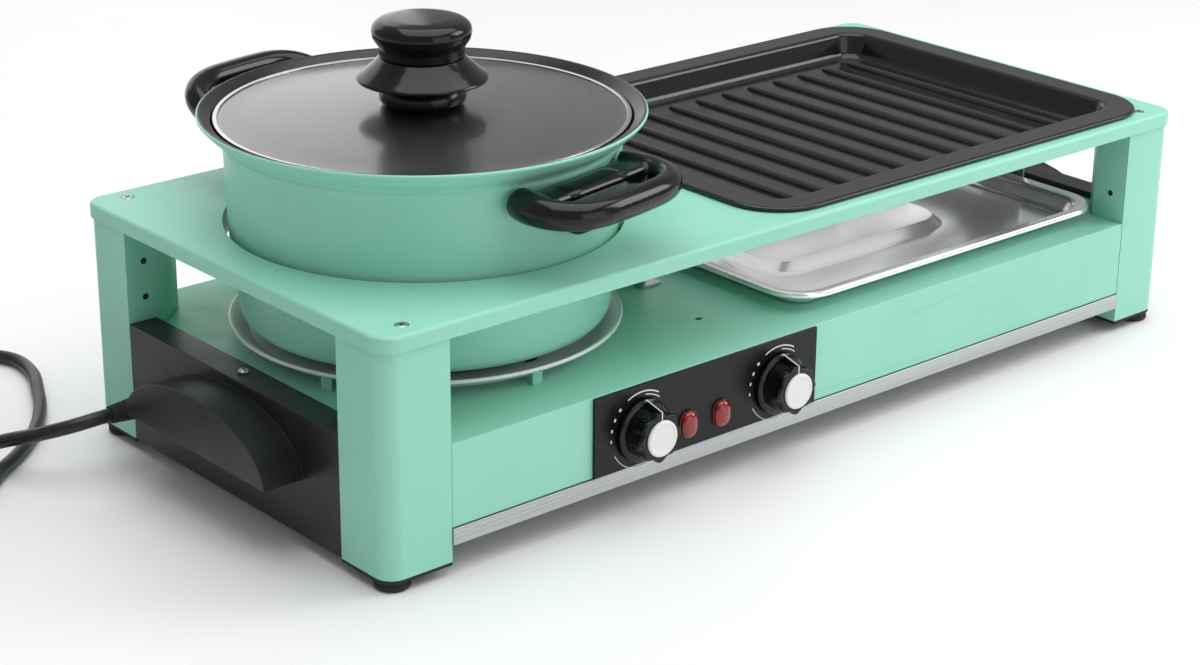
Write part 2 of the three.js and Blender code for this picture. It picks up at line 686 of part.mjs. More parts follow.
function buildChassis() {
  const legs = legClearance();
  const x0 = END_THICKNESS + GAP;
  const x1 = BODY_LENGTH - x0;
  const wallX0 = LEG_WIDTH + GAP;
  const wallX1 = BODY_LENGTH - wallX0;
  const deck = cut(block(x0, x1, 0, BODY_DEPTH, DECK_TOP - CHASSIS_SHEET, DECK_TOP), ...legs);
  const front = block(wallX0, wallX1, 0, CHASSIS_SHEET, PANEL_BOTTOM, DECK_TOP);
  const rear = block(wallX0, wallX1, BODY_DEPTH - CHASSIS_SHEET, BODY_DEPTH, TRIM_BOTTOM, DECK_TOP);
  const below = DECK_TOP - CHASSIS_SHEET - OVERRUN;
  const above = DECK_TOP + OVERRUN;
  const wires = rod(WIRE_HOLE_RADIUS, below, above).translate([POT_X, POT_Y, 0]);
  const vent = rod(DECK_VENT_RADIUS, below, above).translate([DECK_VENT_X, DECK_VENT_Y, 0]);
  const ledgeScrews = [LEDGE_SCREW_INSET, BODY_LENGTH - LEDGE_SCREW_INSET].map((x) => (
    rod(LEDGE_SCREW_SHANK + GAP, below, above).translate([x, MID_Y, 0])
  ));
  const shell = cut(join(deck, front, rear), wires, vent, ...ledgeScrews, ...frontHoles(-OVERRUN, OVERRUN));
  add(body, 'chassis_shell', shell, paints.mint);

  const baseY0 = TRIM_THICKNESS - TRIM_PROUD + GAP;
  const baseY1 = BODY_DEPTH - CHASSIS_SHEET - GAP;
  const base = cut(block(x0, x1, baseY0, baseY1, TRIM_BOTTOM, TRIM_BOTTOM + CHASSIS_SHEET), ...legs);
  add(body, 'base_plate', base, paints.steel);

  const trim = block(
    wallX0, wallX1,
    -TRIM_PROUD, TRIM_THICKNESS - TRIM_PROUD,
    TRIM_BOTTOM, PANEL_BOTTOM - GAP,
  );
  add(body, 'front_trim', trim, paints.brushed);
}

// Half-oval outline of a handle hood in the Y, Z plane, drawn in by an inset
function hoodOutline(inset, below) {
  const shape = new THREE.Shape();
  const half = HOOD_HALF_WIDTH - inset;
  const height = HOOD_HEIGHT - inset;
  shape.moveTo(half, HOOD_BASE - below);
  shape.lineTo(half, HOOD_BASE);
  for (let i = 1; i < HOOD_STEPS; i += 1) {
    const angle = (i * HALF_TURN) / HOOD_STEPS;
    shape.lineTo(half * Math.cos(angle), HOOD_BASE + height * Math.sin(angle));
  }
  shape.lineTo(-half, HOOD_BASE);
  shape.lineTo(-half, HOOD_BASE - below);
  return shape;
}

// Prism of a Y, Z outline between two X places
function sidePrism(shape, x0, x1) {
  return prism(shape, x0, x1).rotate([90, 0, 90]);
}

function buildEndPanels() {
  const y0 = LEG_DEPTH + GAP;
  const y1 = BODY_DEPTH - y0;
  const ledgeTop = DECK_TOP + GAP + LEDGE_THICKNESS;
  const sheet = block(0, END_THICKNESS, y0, y1, LEG_BOTTOM, ledgeTop);
  const ledgeLow = DECK_TOP + GAP;
  const ledge = cut(
    block(0, LEDGE_WIDTH, y0, y1, ledgeLow, ledgeTop),
    rod(LEDGE_SCREW_SHANK + GAP, ledgeLow - OVERRUN, ledgeTop + OVERRUN)
      .translate([LEDGE_SCREW_INSET, MID_Y, 0]),
  );
  const hoodOuter = sidePrism(hoodOutline(0, 0), -HOOD_REACH, END_THICKNESS / 2);
  const hoodInner = sidePrism(hoodOutline(HOOD_WALL, OVERRUN), -HOOD_REACH + HOOD_WALL, 0);
  const hood = cut(hoodOuter, hoodInner).translate([0, HOOD_MID_Y, 0]);
  const panel = join(sheet, ledge, hood);
  const exit = rod(RELIEF_PLUG_RADIUS + GAP, -OVERRUN, END_THICKNESS + OVERRUN)
    .rotate([0, 90, 0]).translate([0, CORD_EXIT_Y, CORD_EXIT_Z]);
  add(body, 'end_panel_left', cut(panel, exit), paints.blackPlastic);
  add(body, 'end_panel_right', mirrored(panel, BODY_LENGTH, 0, -1, 1), paints.blackPlastic);

  const headLow = ledgeTop + GAP;
  const screw = turned([
    [0, headLow - LEDGE_SCREW_LENGTH],
    [LEDGE_SCREW_SHANK, headLow - LEDGE_SCREW_LENGTH],
    [LEDGE_SCREW_SHANK, headLow],
    [LEDGE_SCREW_RADIUS, headLow],
    [LEDGE_SCREW_RADIUS * LEDGE_SCREW_TOP_SHARE, headLow + LEDGE_SCREW_HEIGHT],
    [0, headLow + LEDGE_SCREW_HEIGHT],
  ], SMALL_ROUND_STEPS).translate([LEDGE_SCREW_INSET, MID_Y, 0]);
  add(body, 'ledge_screw_left', screw, paints.steel);
  add(body, 'ledge_screw_right', mirrored(screw, BODY_LENGTH, 0, -1, 1), paints.steel);
}

function buildControls() {
  const back = -GAP;
  const front = back - CONTROL_THICKNESS;
  const plate = block(CONTROL_LEFT, CONTROL_RIGHT, front, back, PANEL_BOTTOM + GAP, DECK_TOP - GAP);
  add(body, 'control_plate', cut(plate, ...frontHoles(front - OVERRUN, OVERRUN)), paints.blackPlastic);

  const dialBack = -front + DIAL_STANDOFF;
  const dialFront = dialBack + DIAL_LENGTH;
  for (const [k, x] of DIAL_X.entries()) {
    const name = ['pot', 'grill'][k];
    const ring = (radius, z) => {
      const points = [];
      for (let i = 0; i < DIAL_STEPS; i += 1) {
        const angle = (i * FULL_TURN) / DIAL_STEPS;
        const r = radius * (1 + DIAL_FLUTE_SHARE * Math.cos(angle * DIAL_FLUTES));
        points.push(new THREE.Vector3(r * Math.cos(angle), r * Math.sin(angle), z));
      }
      return points;
    };
    const knob = cut(
      lofted([
        ring(DIAL_BASE_RADIUS, dialBack),
        ring(DIAL_FRONT_RADIUS, dialFront - DIAL_EDGE),
        ring(DIAL_FRONT_RADIUS - DIAL_EDGE, dialFront),
      ]),
      rod(SHAFT_RADIUS + GAP, dialBack - OVERRUN, dialBack + SHAFT_IN_DIAL + GAP),
    );
    const place = [x, 0, DIAL_Z];
    add(body, `dial_${name}`, knob.rotate([90, 0, 0]).translate(place), paints.glossBlack);
    const cap = rod(DIAL_CAP_RADIUS, dialFront + GAP, dialFront + GAP + DIAL_CAP_THICKNESS, ROUND_STEPS);
    add(body, `dial_cap_${name}`, cap.rotate([90, 0, 0]).translate(place), paints.white);
    const switchFront = -CHASSIS_SHEET - GAP;
    const shaft = rod(SHAFT_RADIUS, switchFront - SHAFT_IN_SWITCH, dialBack + SHAFT_IN_DIAL);
    add(body, `dial_shaft_${name}`, shaft.rotate([90, 0, 0]).translate(place), paints.steel);
    const switchBody = cut(
      block(
        -SWITCH_WIDTH / 2, SWITCH_WIDTH / 2,
        -switchFront, -switchFront + SWITCH_DEPTH,
        -SWITCH_HEIGHT / 2, SWITCH_HEIGHT / 2,
      ),
      rod(SHAFT_RADIUS + SHAFT_CLEARANCE, switchFront - SHAFT_IN_SWITCH - GAP, switchFront + OVERRUN)
        .rotate([90, 0, 0]),
    );
    add(body, `thermostat_${name}`, switchBody.translate(place), paints.iron);
  }
  for (const [k, x] of LAMP_X.entries()) {
    const lamp = lampBody(0, -LAMP_DEPTH, -front + LAMP_PROUD, LAMP_EDGE).translate([x, 0, LAMP_Z]);
    add(body, `pilot_lamp_${['pot', 'grill'][k]}`, lamp, paints.red);
  }
}

function buildHob() {
  const floorGap = DECK_TOP + GAP;
  const flatLow = RING_FLAT_TOP - RING_SHEET;
  const ring = turned([
    [RING_INNER_RADIUS, RING_FLAT_TOP],
    [RING_FLAT_RADIUS, RING_FLAT_TOP],
    [RING_OUTER_RADIUS - RING_SHEET, RING_TOP],
    [RING_OUTER_RADIUS, RING_TOP],
    [RING_OUTER_RADIUS, RING_TOP - RING_LIP],
    [RING_FLAT_RADIUS + RING_SHEET, flatLow],
    [RING_SKIRT_RADIUS + RING_SHEET, flatLow],
    [RING_SKIRT_RADIUS + RING_SHEET, floorGap],
    [RING_SKIRT_RADIUS, floorGap],
    [RING_SKIRT_RADIUS, flatLow],
    [RING_INNER_RADIUS, flatLow],
    [RING_INNER_RADIUS, RING_FLAT_TOP],
  ]).translate([POT_X, POT_Y, 0]);
  add(body, 'hob_ring', ring, paints.brushed);

  const discLow = HOT_PLATE_TOP - HOT_PLATE_THICKNESS;
  const plate = turned([
    [0, HOT_PLATE_TOP - HOT_PLATE_DISH],
    [HOT_PLATE_WELL_RADIUS, HOT_PLATE_TOP - HOT_PLATE_DISH],
    [HOT_PLATE_WELL_RADIUS + HOT_PLATE_EDGE, HOT_PLATE_TOP],
    [HOT_PLATE_RADIUS - HOT_PLATE_EDGE, HOT_PLATE_TOP],
    [HOT_PLATE_RADIUS, HOT_PLATE_TOP - HOT_PLATE_EDGE],
    [HOT_PLATE_RADIUS, discLow],
    [HOT_PLATE_BOSS_RADIUS, discLow],
    [HOT_PLATE_BOSS_RADIUS, floorGap],
    [0, floorGap],
  ]).translate([POT_X, POT_Y, 0]);
  add(body, 'hot_plate', plate, paints.iron);
}

const potGroup = new THREE.Group();
potGroup.position.set(POT_X, POT_Y, 0);
body.add(potGroup);

function buildPot() {
  const flareLow = POT_RIM_TOP - POT_FLARE_DEPTH;
  const beadLow = flareLow - POT_BEAD_HEIGHT;
  const lidShelfInner = BAND_RADIUS - BAND_LIP - GAP;
  const pot = turned([
    [0, POT_BOTTOM],
    [POT_BASE_RADIUS, POT_BOTTOM],
    [(POT_BASE_RADIUS + POT_LOW_RADIUS) / 2 + POT_BEAD, POT_BOTTOM + POT_CORNER_HEIGHT * POT_CORNER_SHARE],
    [POT_LOW_RADIUS, POT_BOTTOM + POT_CORNER_HEIGHT],
    [POT_RADIUS, beadLow],
    [POT_RADIUS + POT_BEAD, beadLow + POT_BEAD_HEIGHT / 2],
    [POT_RADIUS, flareLow],
    [LID_SEAT_RADIUS + POT_WALL / 2, LID_SEAT_TOP - POT_WALL / 2],
    [POT_RIM_RADIUS - POT_RIM_EDGE, POT_RIM_TOP - POT_RIM_EDGE * 2],
    [POT_RIM_RADIUS, POT_RIM_TOP - POT_RIM_EDGE],
    [POT_RIM_RADIUS - POT_RIM_EDGE, POT_RIM_TOP],
    [LID_SEAT_RADIUS, LID_SEAT_TOP + POT_BEAD_HEIGHT],
    [LID_SEAT_RADIUS, LID_SEAT_TOP],
    [lidShelfInner, LID_SEAT_TOP],
    [POT_RADIUS - POT_WALL, LID_SEAT_TOP - POT_BEAD],
    [POT_LOW_RADIUS - POT_WALL, POT_BOTTOM + POT_CORNER_HEIGHT],
    [POT_BASE_RADIUS, POT_BOTTOM + POT_WALL],
    [0, POT_BOTTOM + POT_WALL],
  ], ROUND_STEPS);
  add(potGroup, 'pot_body', pot, paints.potMint);
}

// Radius of the pot's outer wall at a height below its bead
function potWallRadius(z) {
  const foot = POT_BOTTOM + POT_CORNER_HEIGHT;
  const beadLow = POT_RIM_TOP - POT_FLARE_DEPTH - POT_BEAD_HEIGHT;
  return THREE.MathUtils.mapLinear(z, foot, beadLow, POT_LOW_RADIUS, POT_RADIUS);
}

// The pot's side and flared rim with a gap, which the handles and brackets are cut back from
function potSide(low) {
  const beadTop = POT_RIM_TOP - POT_FLARE_DEPTH;
  const beadRadius = POT_RADIUS + POT_BEAD + GAP;
  const rimRadius = POT_RIM_RADIUS + GAP;
  return turned([
    [0, low],
    [potWallRadius(low) + GAP, low],
    [POT_RADIUS + GAP, beadTop - POT_BEAD_HEIGHT],
    [beadRadius, beadTop - POT_BEAD_HEIGHT / 2],
    [beadRadius, beadTop],
    [LID_SEAT_RADIUS + POT_WALL / 2 + GAP, LID_SEAT_TOP - POT_WALL / 2 - GAP],
    [rimRadius, POT_RIM_TOP - POT_RIM_EDGE * 2 - GAP],
    [rimRadius, POT_RIM_TOP + OVERRUN],
    [0, POT_RIM_TOP + OVERRUN],
  ], ROUND_STEPS * 2);
}

// Plan outline of a handle about its middle, reaching along +X from the pot's axis
function handleOutline(r0, r1, half, corner) {
  const shape = new THREE.Shape();
  shape.moveTo(r0, -half);
  shape.lineTo(r1 - corner, -half);
  shape.absarc(r1 - corner, -half + corner, corner, -QUARTER_TURN, 0, false);
  shape.absarc(r1 - corner, half - corner, corner, 0, QUARTER_TURN, false);
  shape.lineTo(r0, half);
  shape.closePath();
  return shape;
}

// Loop of a handle with its finger slot, cranked up about the pot's wall
function handleLoop(start, low, crank) {
  const tip = POT_RADIUS + HANDLE_REACH;
  const outline = handleOutline(start, tip - HANDLE_EDGE, HANDLE_HALF_WIDTH - HANDLE_EDGE, HANDLE_CORNER);
  const blank = new THREE.ExtrudeGeometry(outline, {
    bevelEnabled: true,
    bevelThickness: HANDLE_EDGE,
    bevelSize: HANDLE_EDGE,
    bevelSegments: 2,
    depth: HANDLE_THICKNESS - HANDLE_EDGE * 2,
    curveSegments: CORNER_STEPS,
  });
  blank.translate(0, 0, low + HANDLE_EDGE);
  const slotStart = POT_RADIUS + HANDLE_BASE_DEPTH;
  const slotEnd = tip - HANDLE_GRIP;
  const slotDepth = slotEnd - slotStart;
  const slot = rectangleBody(slotDepth, (HANDLE_HALF_WIDTH - HANDLE_GRIP) * 2, slotDepth / 2 - GAP, [
    [0, low - OVERRUN],
    [0, HANDLE_TOP + OVERRUN],
  ]).translate([(slotStart + slotEnd) / 2, 0, 0]);
  const middle = low + HANDLE_THICKNESS / 2;
  return cut(solidOf(blank), slot)
    .translate([-POT_RADIUS, 0, -middle])
    .rotate([0, -crank, 0])
    .translate([POT_RADIUS, 0, middle]);
}

// Lug below a loop, narrower at its foot, that takes the bracket and the screw
function handleLug(start, low) {
  const face = new THREE.Shape();
  face.moveTo(-LUG_FOOT_HALF_WIDTH, low - LUG_HEIGHT);
  face.lineTo(LUG_FOOT_HALF_WIDTH, low - LUG_HEIGHT);
  face.lineTo(LUG_HALF_WIDTH, low);
  face.lineTo(LUG_HALF_WIDTH, low + HANDLE_THICKNESS / 2);
  face.lineTo(-LUG_HALF_WIDTH, low + HANDLE_THICKNESS / 2);
  face.lineTo(-LUG_HALF_WIDTH, low);
  return sidePrism(face, start, POT_RADIUS + LUG_DEPTH);
}

function buildPotHandles() {
  const low = HANDLE_TOP - HANDLE_THICKNESS;
  const start = POT_LOW_RADIUS - OVERRUN;
  const side = potSide(low - LUG_HEIGHT - OVERRUN);
  const lugEnd = POT_RADIUS + LUG_DEPTH;
  const bracketTop = low - BRACKET_DROP;
  const bracketLow = bracketTop - BRACKET_HEIGHT;
  const bracketEnd = POT_RADIUS + BRACKET_DEPTH;
  const pocket = block(
    start, bracketEnd + GAP,
    -BRACKET_HALF_WIDTH - GAP, BRACKET_HALF_WIDTH + GAP,
    bracketLow - GAP, bracketTop + GAP,
  );
  const screwZ = (bracketTop + bracketLow) / 2;
  const screwRod = (radius, x0, x1) => rod(radius, x0, x1).rotate([0, 90, 0]).translate([0, 0, screwZ]);
  const headStart = lugEnd - HANDLE_SCREW_HEAD_HEIGHT - GAP;
  const bracket = cut(
    block(start, bracketEnd, -BRACKET_HALF_WIDTH, BRACKET_HALF_WIDTH, bracketLow, bracketTop),
    side,
    screwRod(HANDLE_SCREW_RADIUS + GAP, start, bracketEnd + OVERRUN),
  );
  const screw = join(
    screwRod(HANDLE_SCREW_RADIUS, POT_RADIUS + GAP, headStart + GAP + HANDLE_SCREW_HEAD_HEIGHT / 2),
    screwRod(HANDLE_SCREW_HEAD_RADIUS, headStart + GAP, headStart + GAP + HANDLE_SCREW_HEAD_HEIGHT),
  );
  for (const [place, degrees, crank] of [['front', -90, 0], ['rear', 90, HANDLE_CRANK_DEGREES]]) {
    const moulding = cut(
      join(handleLoop(start, low, crank), handleLug(start, low)),
      side,
      pocket,
      screwRod(HANDLE_SCREW_RADIUS + GAP, bracketEnd, lugEnd + OVERRUN),
      screwRod(HANDLE_SCREW_HEAD_RADIUS + GAP, headStart, lugEnd + OVERRUN),
    );
    const angle = [0, 0, degrees + HANDLE_TURN_DEGREES];
    add(potGroup, `pot_handle_${place}`, moulding.rotate(angle), paints.glossBlack);
    add(potGroup, `pot_bracket_${place}`, bracket.rotate(angle), paints.steel);
    add(potGroup, `pot_handle_screw_${place}`, screw.rotate(angle), paints.steel);
  }
}

function buildLid() {
  const bandLow = LID_SEAT_TOP + GAP;
  const glassLow = bandLow + BAND_SHEET + GAP;
  const glassEdgeTop = glassLow + GLASS_THICKNESS;
  const bandTop = glassEdgeTop + GAP + BAND_SHEET;
  const lipRadius = BAND_RADIUS - BAND_LIP;
  const channel = BAND_RADIUS - BAND_SHEET;
  const band = turned([
    [lipRadius, bandLow],
    [BAND_RADIUS, bandLow],
    [BAND_RADIUS, bandTop],
    [lipRadius, bandTop],
    [lipRadius, bandTop - BAND_SHEET],
    [channel, bandTop - BAND_SHEET],
    [channel, bandLow + BAND_SHEET],
    [lipRadius, bandLow + BAND_SHEET],
    [lipRadius, bandLow],
  ], ROUND_STEPS);
  add(potGroup, 'lid_band', band, paints.steel);

  const glassRadius = channel - GAP;
  const domeRadius = glassRadius - GLASS_RIM;
  const bore = KNOB_SCREW_RADIUS + GAP;
  const upper = [];
  const lower = [];
  for (let i = 0; i <= GLASS_DOME_STEPS; i += 1) {
    const share = i / GLASS_DOME_STEPS;
    const r = domeRadius * (1 - share) + bore * share;
    const rise = GLASS_RISE * (1 - (r / domeRadius) ** 2);
    upper.push([r, glassEdgeTop + rise]);
    lower.unshift([r, glassLow + rise]);
  }
  const rim = [[glassRadius, glassLow], [glassRadius, glassEdgeTop]];
  add(potGroup, 'lid_glass', turned([...rim, ...upper, ...lower, rim[0]], ROUND_STEPS), paints.glass);

  const z0 = glassEdgeTop + GLASS_RISE + GAP;
  const z1 = z0 + KNOB_BASE_HEIGHT;
  const z2 = z1 + KNOB_COLLAR_HEIGHT;
  const base = turned([
    [bore, z0],
    [KNOB_BASE_RADIUS - KNOB_COLLAR_EDGE, z0],
    [KNOB_BASE_RADIUS, z0 + KNOB_BASE_HEIGHT * KNOB_BULGE_SHARE],
    [KNOB_WAIST_RADIUS, z1 - KNOB_COLLAR_EDGE],
    [KNOB_COLLAR_RADIUS - KNOB_COLLAR_EDGE, z1 - KNOB_COLLAR_EDGE / 2],
    [KNOB_COLLAR_RADIUS, z1],
    [KNOB_COLLAR_RADIUS - KNOB_COLLAR_EDGE / 2, z1 + KNOB_COLLAR_EDGE],
    [KNOB_NECK_RADIUS, z2],
    [bore, z2],
    [bore, z0],
  ], ROUND_STEPS);
  add(potGroup, 'lid_knob_base', base, paints.glossBlack);

  const z3 = z2 + GAP;
  const z4 = z3 + KNOB_NECK_HEIGHT;
  const z5 = z4 + KNOB_TOP_HEIGHT;
  const top = cut(turned([
    [0, z3],
    [KNOB_NECK_RADIUS, z3],
    [KNOB_BASE_RADIUS, z4 - KNOB_COLLAR_EDGE / 2],
    [KNOB_TOP_RADIUS, z4 + KNOB_COLLAR_EDGE / 2],
    [KNOB_TOP_RADIUS, z4 + KNOB_TOP_HEIGHT / 2],
    [KNOB_WAIST_RADIUS, z5 - KNOB_COLLAR_EDGE / 2],
    [0, z5],
  ], ROUND_STEPS), rod(bore, z3 - OVERRUN, z3 + KNOB_SCREW_DEPTH + GAP));
  add(potGroup, 'lid_knob', top, paints.glossBlack);

  const headTop = glassLow + GLASS_RISE - GAP;
  const headLow = headTop - KNOB_SCREW_HEAD_HEIGHT;
  const screw = turned([
    [0, headLow],
    [KNOB_SCREW_HEAD_RADIUS, headLow],
    [KNOB_SCREW_HEAD_RADIUS, headTop],
    [KNOB_SCREW_RADIUS, headTop],
    [KNOB_SCREW_RADIUS, z3 + KNOB_SCREW_DEPTH],
    [0, z3 + KNOB_SCREW_DEPTH],
  ], SMALL_ROUND_STEPS);
  add(potGroup, 'lid_knob_screw', screw, paints.steel);
}

function buildGrillPan() {
  const rimLow = PLATE_TOP + GAP;
  const bodyInset = panBodyInset();
  const floorInset = PAN_RIM_WIDTH + PAN_WALL_LEAN;
  const floorLow = PAN_FLOOR_TOP - PAN_FLOOR_THICKNESS;
  const pan = rectangleBody(PAN_LENGTH, PAN_DEPTH, PAN_CORNER_RADIUS, [
    [floorInset, floorLow],
    [floorInset - PAN_WALL, floorLow + PAN_FLOOR_CORNER],
    [bodyInset, rimLow],
    [0, rimLow],
    [0, PAN_RIM_TOP - PAN_RIM_EDGE],
    [PAN_RIM_EDGE, PAN_RIM_TOP],
    [PAN_RIM_WIDTH, PAN_RIM_TOP],
    [PAN_RIM_WIDTH + PAN_WALL_LEAN * PAN_THROAT_SHARE, PAN_RIM_TOP - PAN_FLOOR_CORNER],
    [floorInset, PAN_FLOOR_TOP + PAN_FLOOR_CORNER],
    [floorInset + PAN_FLOOR_CORNER, PAN_FLOOR_TOP],
  ]);
  const ribHalf = PAN_DEPTH / 2 - floorInset - RIB_END_MARGIN;
  const ribSpan = PAN_LENGTH - (floorInset + RIB_SIDE_MARGIN) * 2;
  const section = new THREE.Shape();
  const halfTop = (RIB_WIDTH * RIB_TOP_SHARE) / 2;
  section.moveTo(-RIB_WIDTH / 2, -PAN_FLOOR_THICKNESS / 2);
  section.lineTo(RIB_WIDTH / 2, -PAN_FLOOR_THICKNESS / 2);
  section.lineTo(RIB_WIDTH / 2, 0);
  section.lineTo(halfTop, RIB_HEIGHT);
  section.lineTo(-halfTop, RIB_HEIGHT);
  section.lineTo(-RIB_WIDTH / 2, 0);
  const ribs = [];
  for (let k = 0; k < RIB_COUNT; k += 1) {
    const x = (k / (RIB_COUNT - 1) - 1 / 2) * ribSpan;
    ribs.push(prism(section, -ribHalf, ribHalf).rotate([90, 0, 0]).translate([x, 0, PAN_FLOOR_TOP]));
  }
  add(body, 'grill_pan', join(pan, ...ribs).translate([PAN_X, PAN_Y, 0]), paints.enamel);
}

// Path of the heater tube: in at one terminal, round the outer bars and back along two inner ones
function heaterCurve() {
  const inner = HEATER_INNER_HALF;
  const outer = HEATER_OUTER_HALF;
  const start = HEATER_BRACKET_X - HEATER_TERMINAL;
  const route = [
    [start, -inner],
    [HEATER_LEFT, -inner],
    [HEATER_LEFT, -outer],
    [HEATER_RIGHT, -outer],
    [HEATER_RIGHT, -inner],
    [HEATER_FOLD, -inner],
    [HEATER_FOLD, inner],
    [HEATER_RIGHT, inner],
    [HEATER_RIGHT, outer],
    [HEATER_LEFT, outer],
    [HEATER_LEFT, inner],
    [start, inner],
  ].map(([x, y]) => new THREE.Vector3(x, TRAY_Y + y, HEATER_Z));
  const towards = (from, to) => from.clone().lerp(to, HEATER_BEND / from.distanceTo(to));
  const path = new THREE.CurvePath();
  let last = route[0];
  for (let i = 1; i + 1 < route.length; i += 1) {
    const before = towards(route[i], route[i - 1]);
    const after = towards(route[i], route[i + 1]);
    path.add(new THREE.LineCurve3(last, before));
    path.add(new THREE.QuadraticBezierCurve3(before, route[i], after));
    last = after;
  }
  path.add(new THREE.LineCurve3(last, route[route.length - 1]));
  return path;
}

function buildGrillHeater() {
  add(body, 'grill_heater', tube(heaterCurve(), HEATER_RADIUS, HEATER_SIDES, HEATER_STEPS), paints.heater);

  const low = DECK_TOP + GAP;
  const half = HEATER_INNER_HALF + HEATER_BRACKET_MARGIN;
  const x0 = HEATER_BRACKET_X - HEATER_BRACKET_THICKNESS;
  const holes = [-HEATER_INNER_HALF, HEATER_INNER_HALF].map((y) => (
    rod(HEATER_RADIUS + GAP, x0 - OVERRUN, HEATER_BRACKET_X + OVERRUN)
      .rotate([0, 90, 0]).translate([0, TRAY_Y + y, HEATER_Z])
  ));
  const wall = block(
    x0, HEATER_BRACKET_X, TRAY_Y - half, TRAY_Y + half, low, HEATER_Z + HEATER_BRACKET_MARGIN,
  );
  const foot = block(
    x0, HEATER_BRACKET_X + HEATER_BRACKET_FOOT,
    TRAY_Y - half, TRAY_Y + half,
    low, low + HEATER_BRACKET_THICKNESS,
  );
  add(body, 'heater_bracket', cut(join(wall, foot), ...holes), paints.steel);

  const restTop = HEATER_Z - HEATER_RADIUS - GAP;
  const restHalf = HEATER_INNER_HALF + HEATER_BEND + REST_MARGIN;
  const y0 = TRAY_Y - restHalf;
  const y1 = TRAY_Y + restHalf;
  const rest = join(
    block(REST_X, REST_X + REST_THICKNESS, y0, y1, low, restTop),
    block(HEATER_RIGHT - REST_MARGIN, REST_X + REST_THICKNESS, y0, y1, restTop - REST_THICKNESS, restTop),
    block(REST_X, REST_X + REST_FOOT, y0, y1, low, low + REST_THICKNESS),
  );
  add(body, 'heater_rest', rest, paints.steel);
}

function buildTray() {
  const low = DECK_TOP + GAP;
  const floor = low + TRAY_SHEET;
  const rimInner = TRAY_RIM_WIDTH;
  const floorInset = rimInner + TRAY_SLOPE;
  const rim = (inset, z) => rectangleRing(TRAY_LENGTH, TRAY_DEPTH, TRAY_CORNER_RADIUS, inset, z);
  const step = (inset, z) => (
    rectangleRing(TRAY_STEP_LENGTH, TRAY_STEP_DEPTH, TRAY_CORNER_RADIUS, inset, z)
      .map((point) => point.add(new THREE.Vector3(TRAY_STEP_SHIFT_X, TRAY_STEP_SHIFT_Y, 0)))
  );
  const tray = lofted([
    step(TRAY_STEP_SLOPE, low + TRAY_STEP_HEIGHT),
    step(0, low),
    rim(floorInset, low),
    rim(rimInner, TRAY_RIM_TOP - TRAY_LIP_INNER),
    rim(0, TRAY_RIM_TOP - TRAY_LIP),
    rim(0, TRAY_RIM_TOP - TRAY_SHEET),
    rim(TRAY_SHEET, TRAY_RIM_TOP),
    rim(rimInner, TRAY_RIM_TOP - TRAY_SHEET),
    rim(floorInset + TRAY_SHEET, floor),
    step(0, floor),
    step(TRAY_STEP_SLOPE, floor + TRAY_STEP_HEIGHT),
  ]);
  add(body, 'drip_tray', tray.translate([TRAY_X, TRAY_Y, 0]), paints.steel);
}

function buildTerminals() {
  const low = TRIM_BOTTOM + CHASSIS_SHEET + GAP;
  const terminals = block(
    TERMINAL_X, TERMINAL_X + TERMINAL_LENGTH,
    TERMINAL_Y - TERMINAL_DEPTH / 2, TERMINAL_Y + TERMINAL_DEPTH / 2,
    low, low + TERMINAL_HEIGHT,
  );
  add(body, 'terminal_block', terminals, paints.white);
}

// Solid drawn along +Z, laid so that it heads out of the left end
function facingLeft(solid) {
  return solid.rotate([0, -90, 0]).translate([0, CORD_EXIT_Y, CORD_EXIT_Z]);
}

function buildRelief() {
  const collarTop = GAP + RELIEF_COLLAR;
  const relief = turned([
    [0, -RELIEF_INSIDE],
    [RELIEF_PLUG_RADIUS, -RELIEF_INSIDE],
    [RELIEF_PLUG_RADIUS, GAP],
    [RELIEF_COLLAR_RADIUS, GAP],
    [RELIEF_COLLAR_RADIUS, collarTop],
    [RELIEF_BASE_RADIUS, collarTop],
    [RELIEF_TIP_RADIUS, RELIEF_LENGTH],
    [0, RELIEF_LENGTH],
  ], SMALL_ROUND_STEPS);
  add(body, 'cord_relief', facingLeft(relief), paints.rubber);
}

// Where the cord comes to the coil, and its heading there
function coilStart() {
  const radius = COIL_INNER_RADIUS + COIL_SPREAD * (COIL_TURNS / 2 - COIL_CLIMB_TURNS / 2);
  const heading = new THREE.Vector3(Math.sin(COIL_START_ANGLE), -Math.cos(COIL_START_ANGLE), 0);
  const point = new THREE.Vector3(
    COIL_X + radius * Math.cos(COIL_START_ANGLE),
    COIL_Y + radius * Math.sin(COIL_START_ANGLE),
    CORD_FLOOR_Z,
  );
  return { point, heading };
}

// Turns that spiral in on the floor, climb one layer at the inside and spiral out on top
function coilPoints() {
  const { point, heading } = coilStart();
  const points = [point.clone().addScaledVector(heading, -CORD_DIAMETER)];
  const count = COIL_TURNS * COIL_STEPS_PER_TURN;
  for (let i = 0; i <= count; i += 1) {
    const turn = i / COIL_STEPS_PER_TURN;
    const fromMiddle = turn - COIL_TURNS / 2;
    const radius = COIL_INNER_RADIUS + COIL_SPREAD * Math.max(0, Math.abs(fromMiddle) - COIL_CLIMB_TURNS / 2);
    const climb = THREE.MathUtils.smoothstep(fromMiddle, -COIL_CLIMB_TURNS / 2, COIL_CLIMB_TURNS / 2);
    const angle = COIL_START_ANGLE - turn * FULL_TURN;
    points.push(new THREE.Vector3(
      COIL_X + radius * Math.cos(angle),
      COIL_Y + radius * Math.sin(angle),
      CORD_FLOOR_Z + COIL_LAYER * climb,
    ));
  }
  const last = points[points.length - 1];
  points.push(last.clone().addScaledVector(heading, COIL_TAIL / 2));
  points.push(last.clone().addScaledVector(heading, COIL_TAIL));
  return points;
}

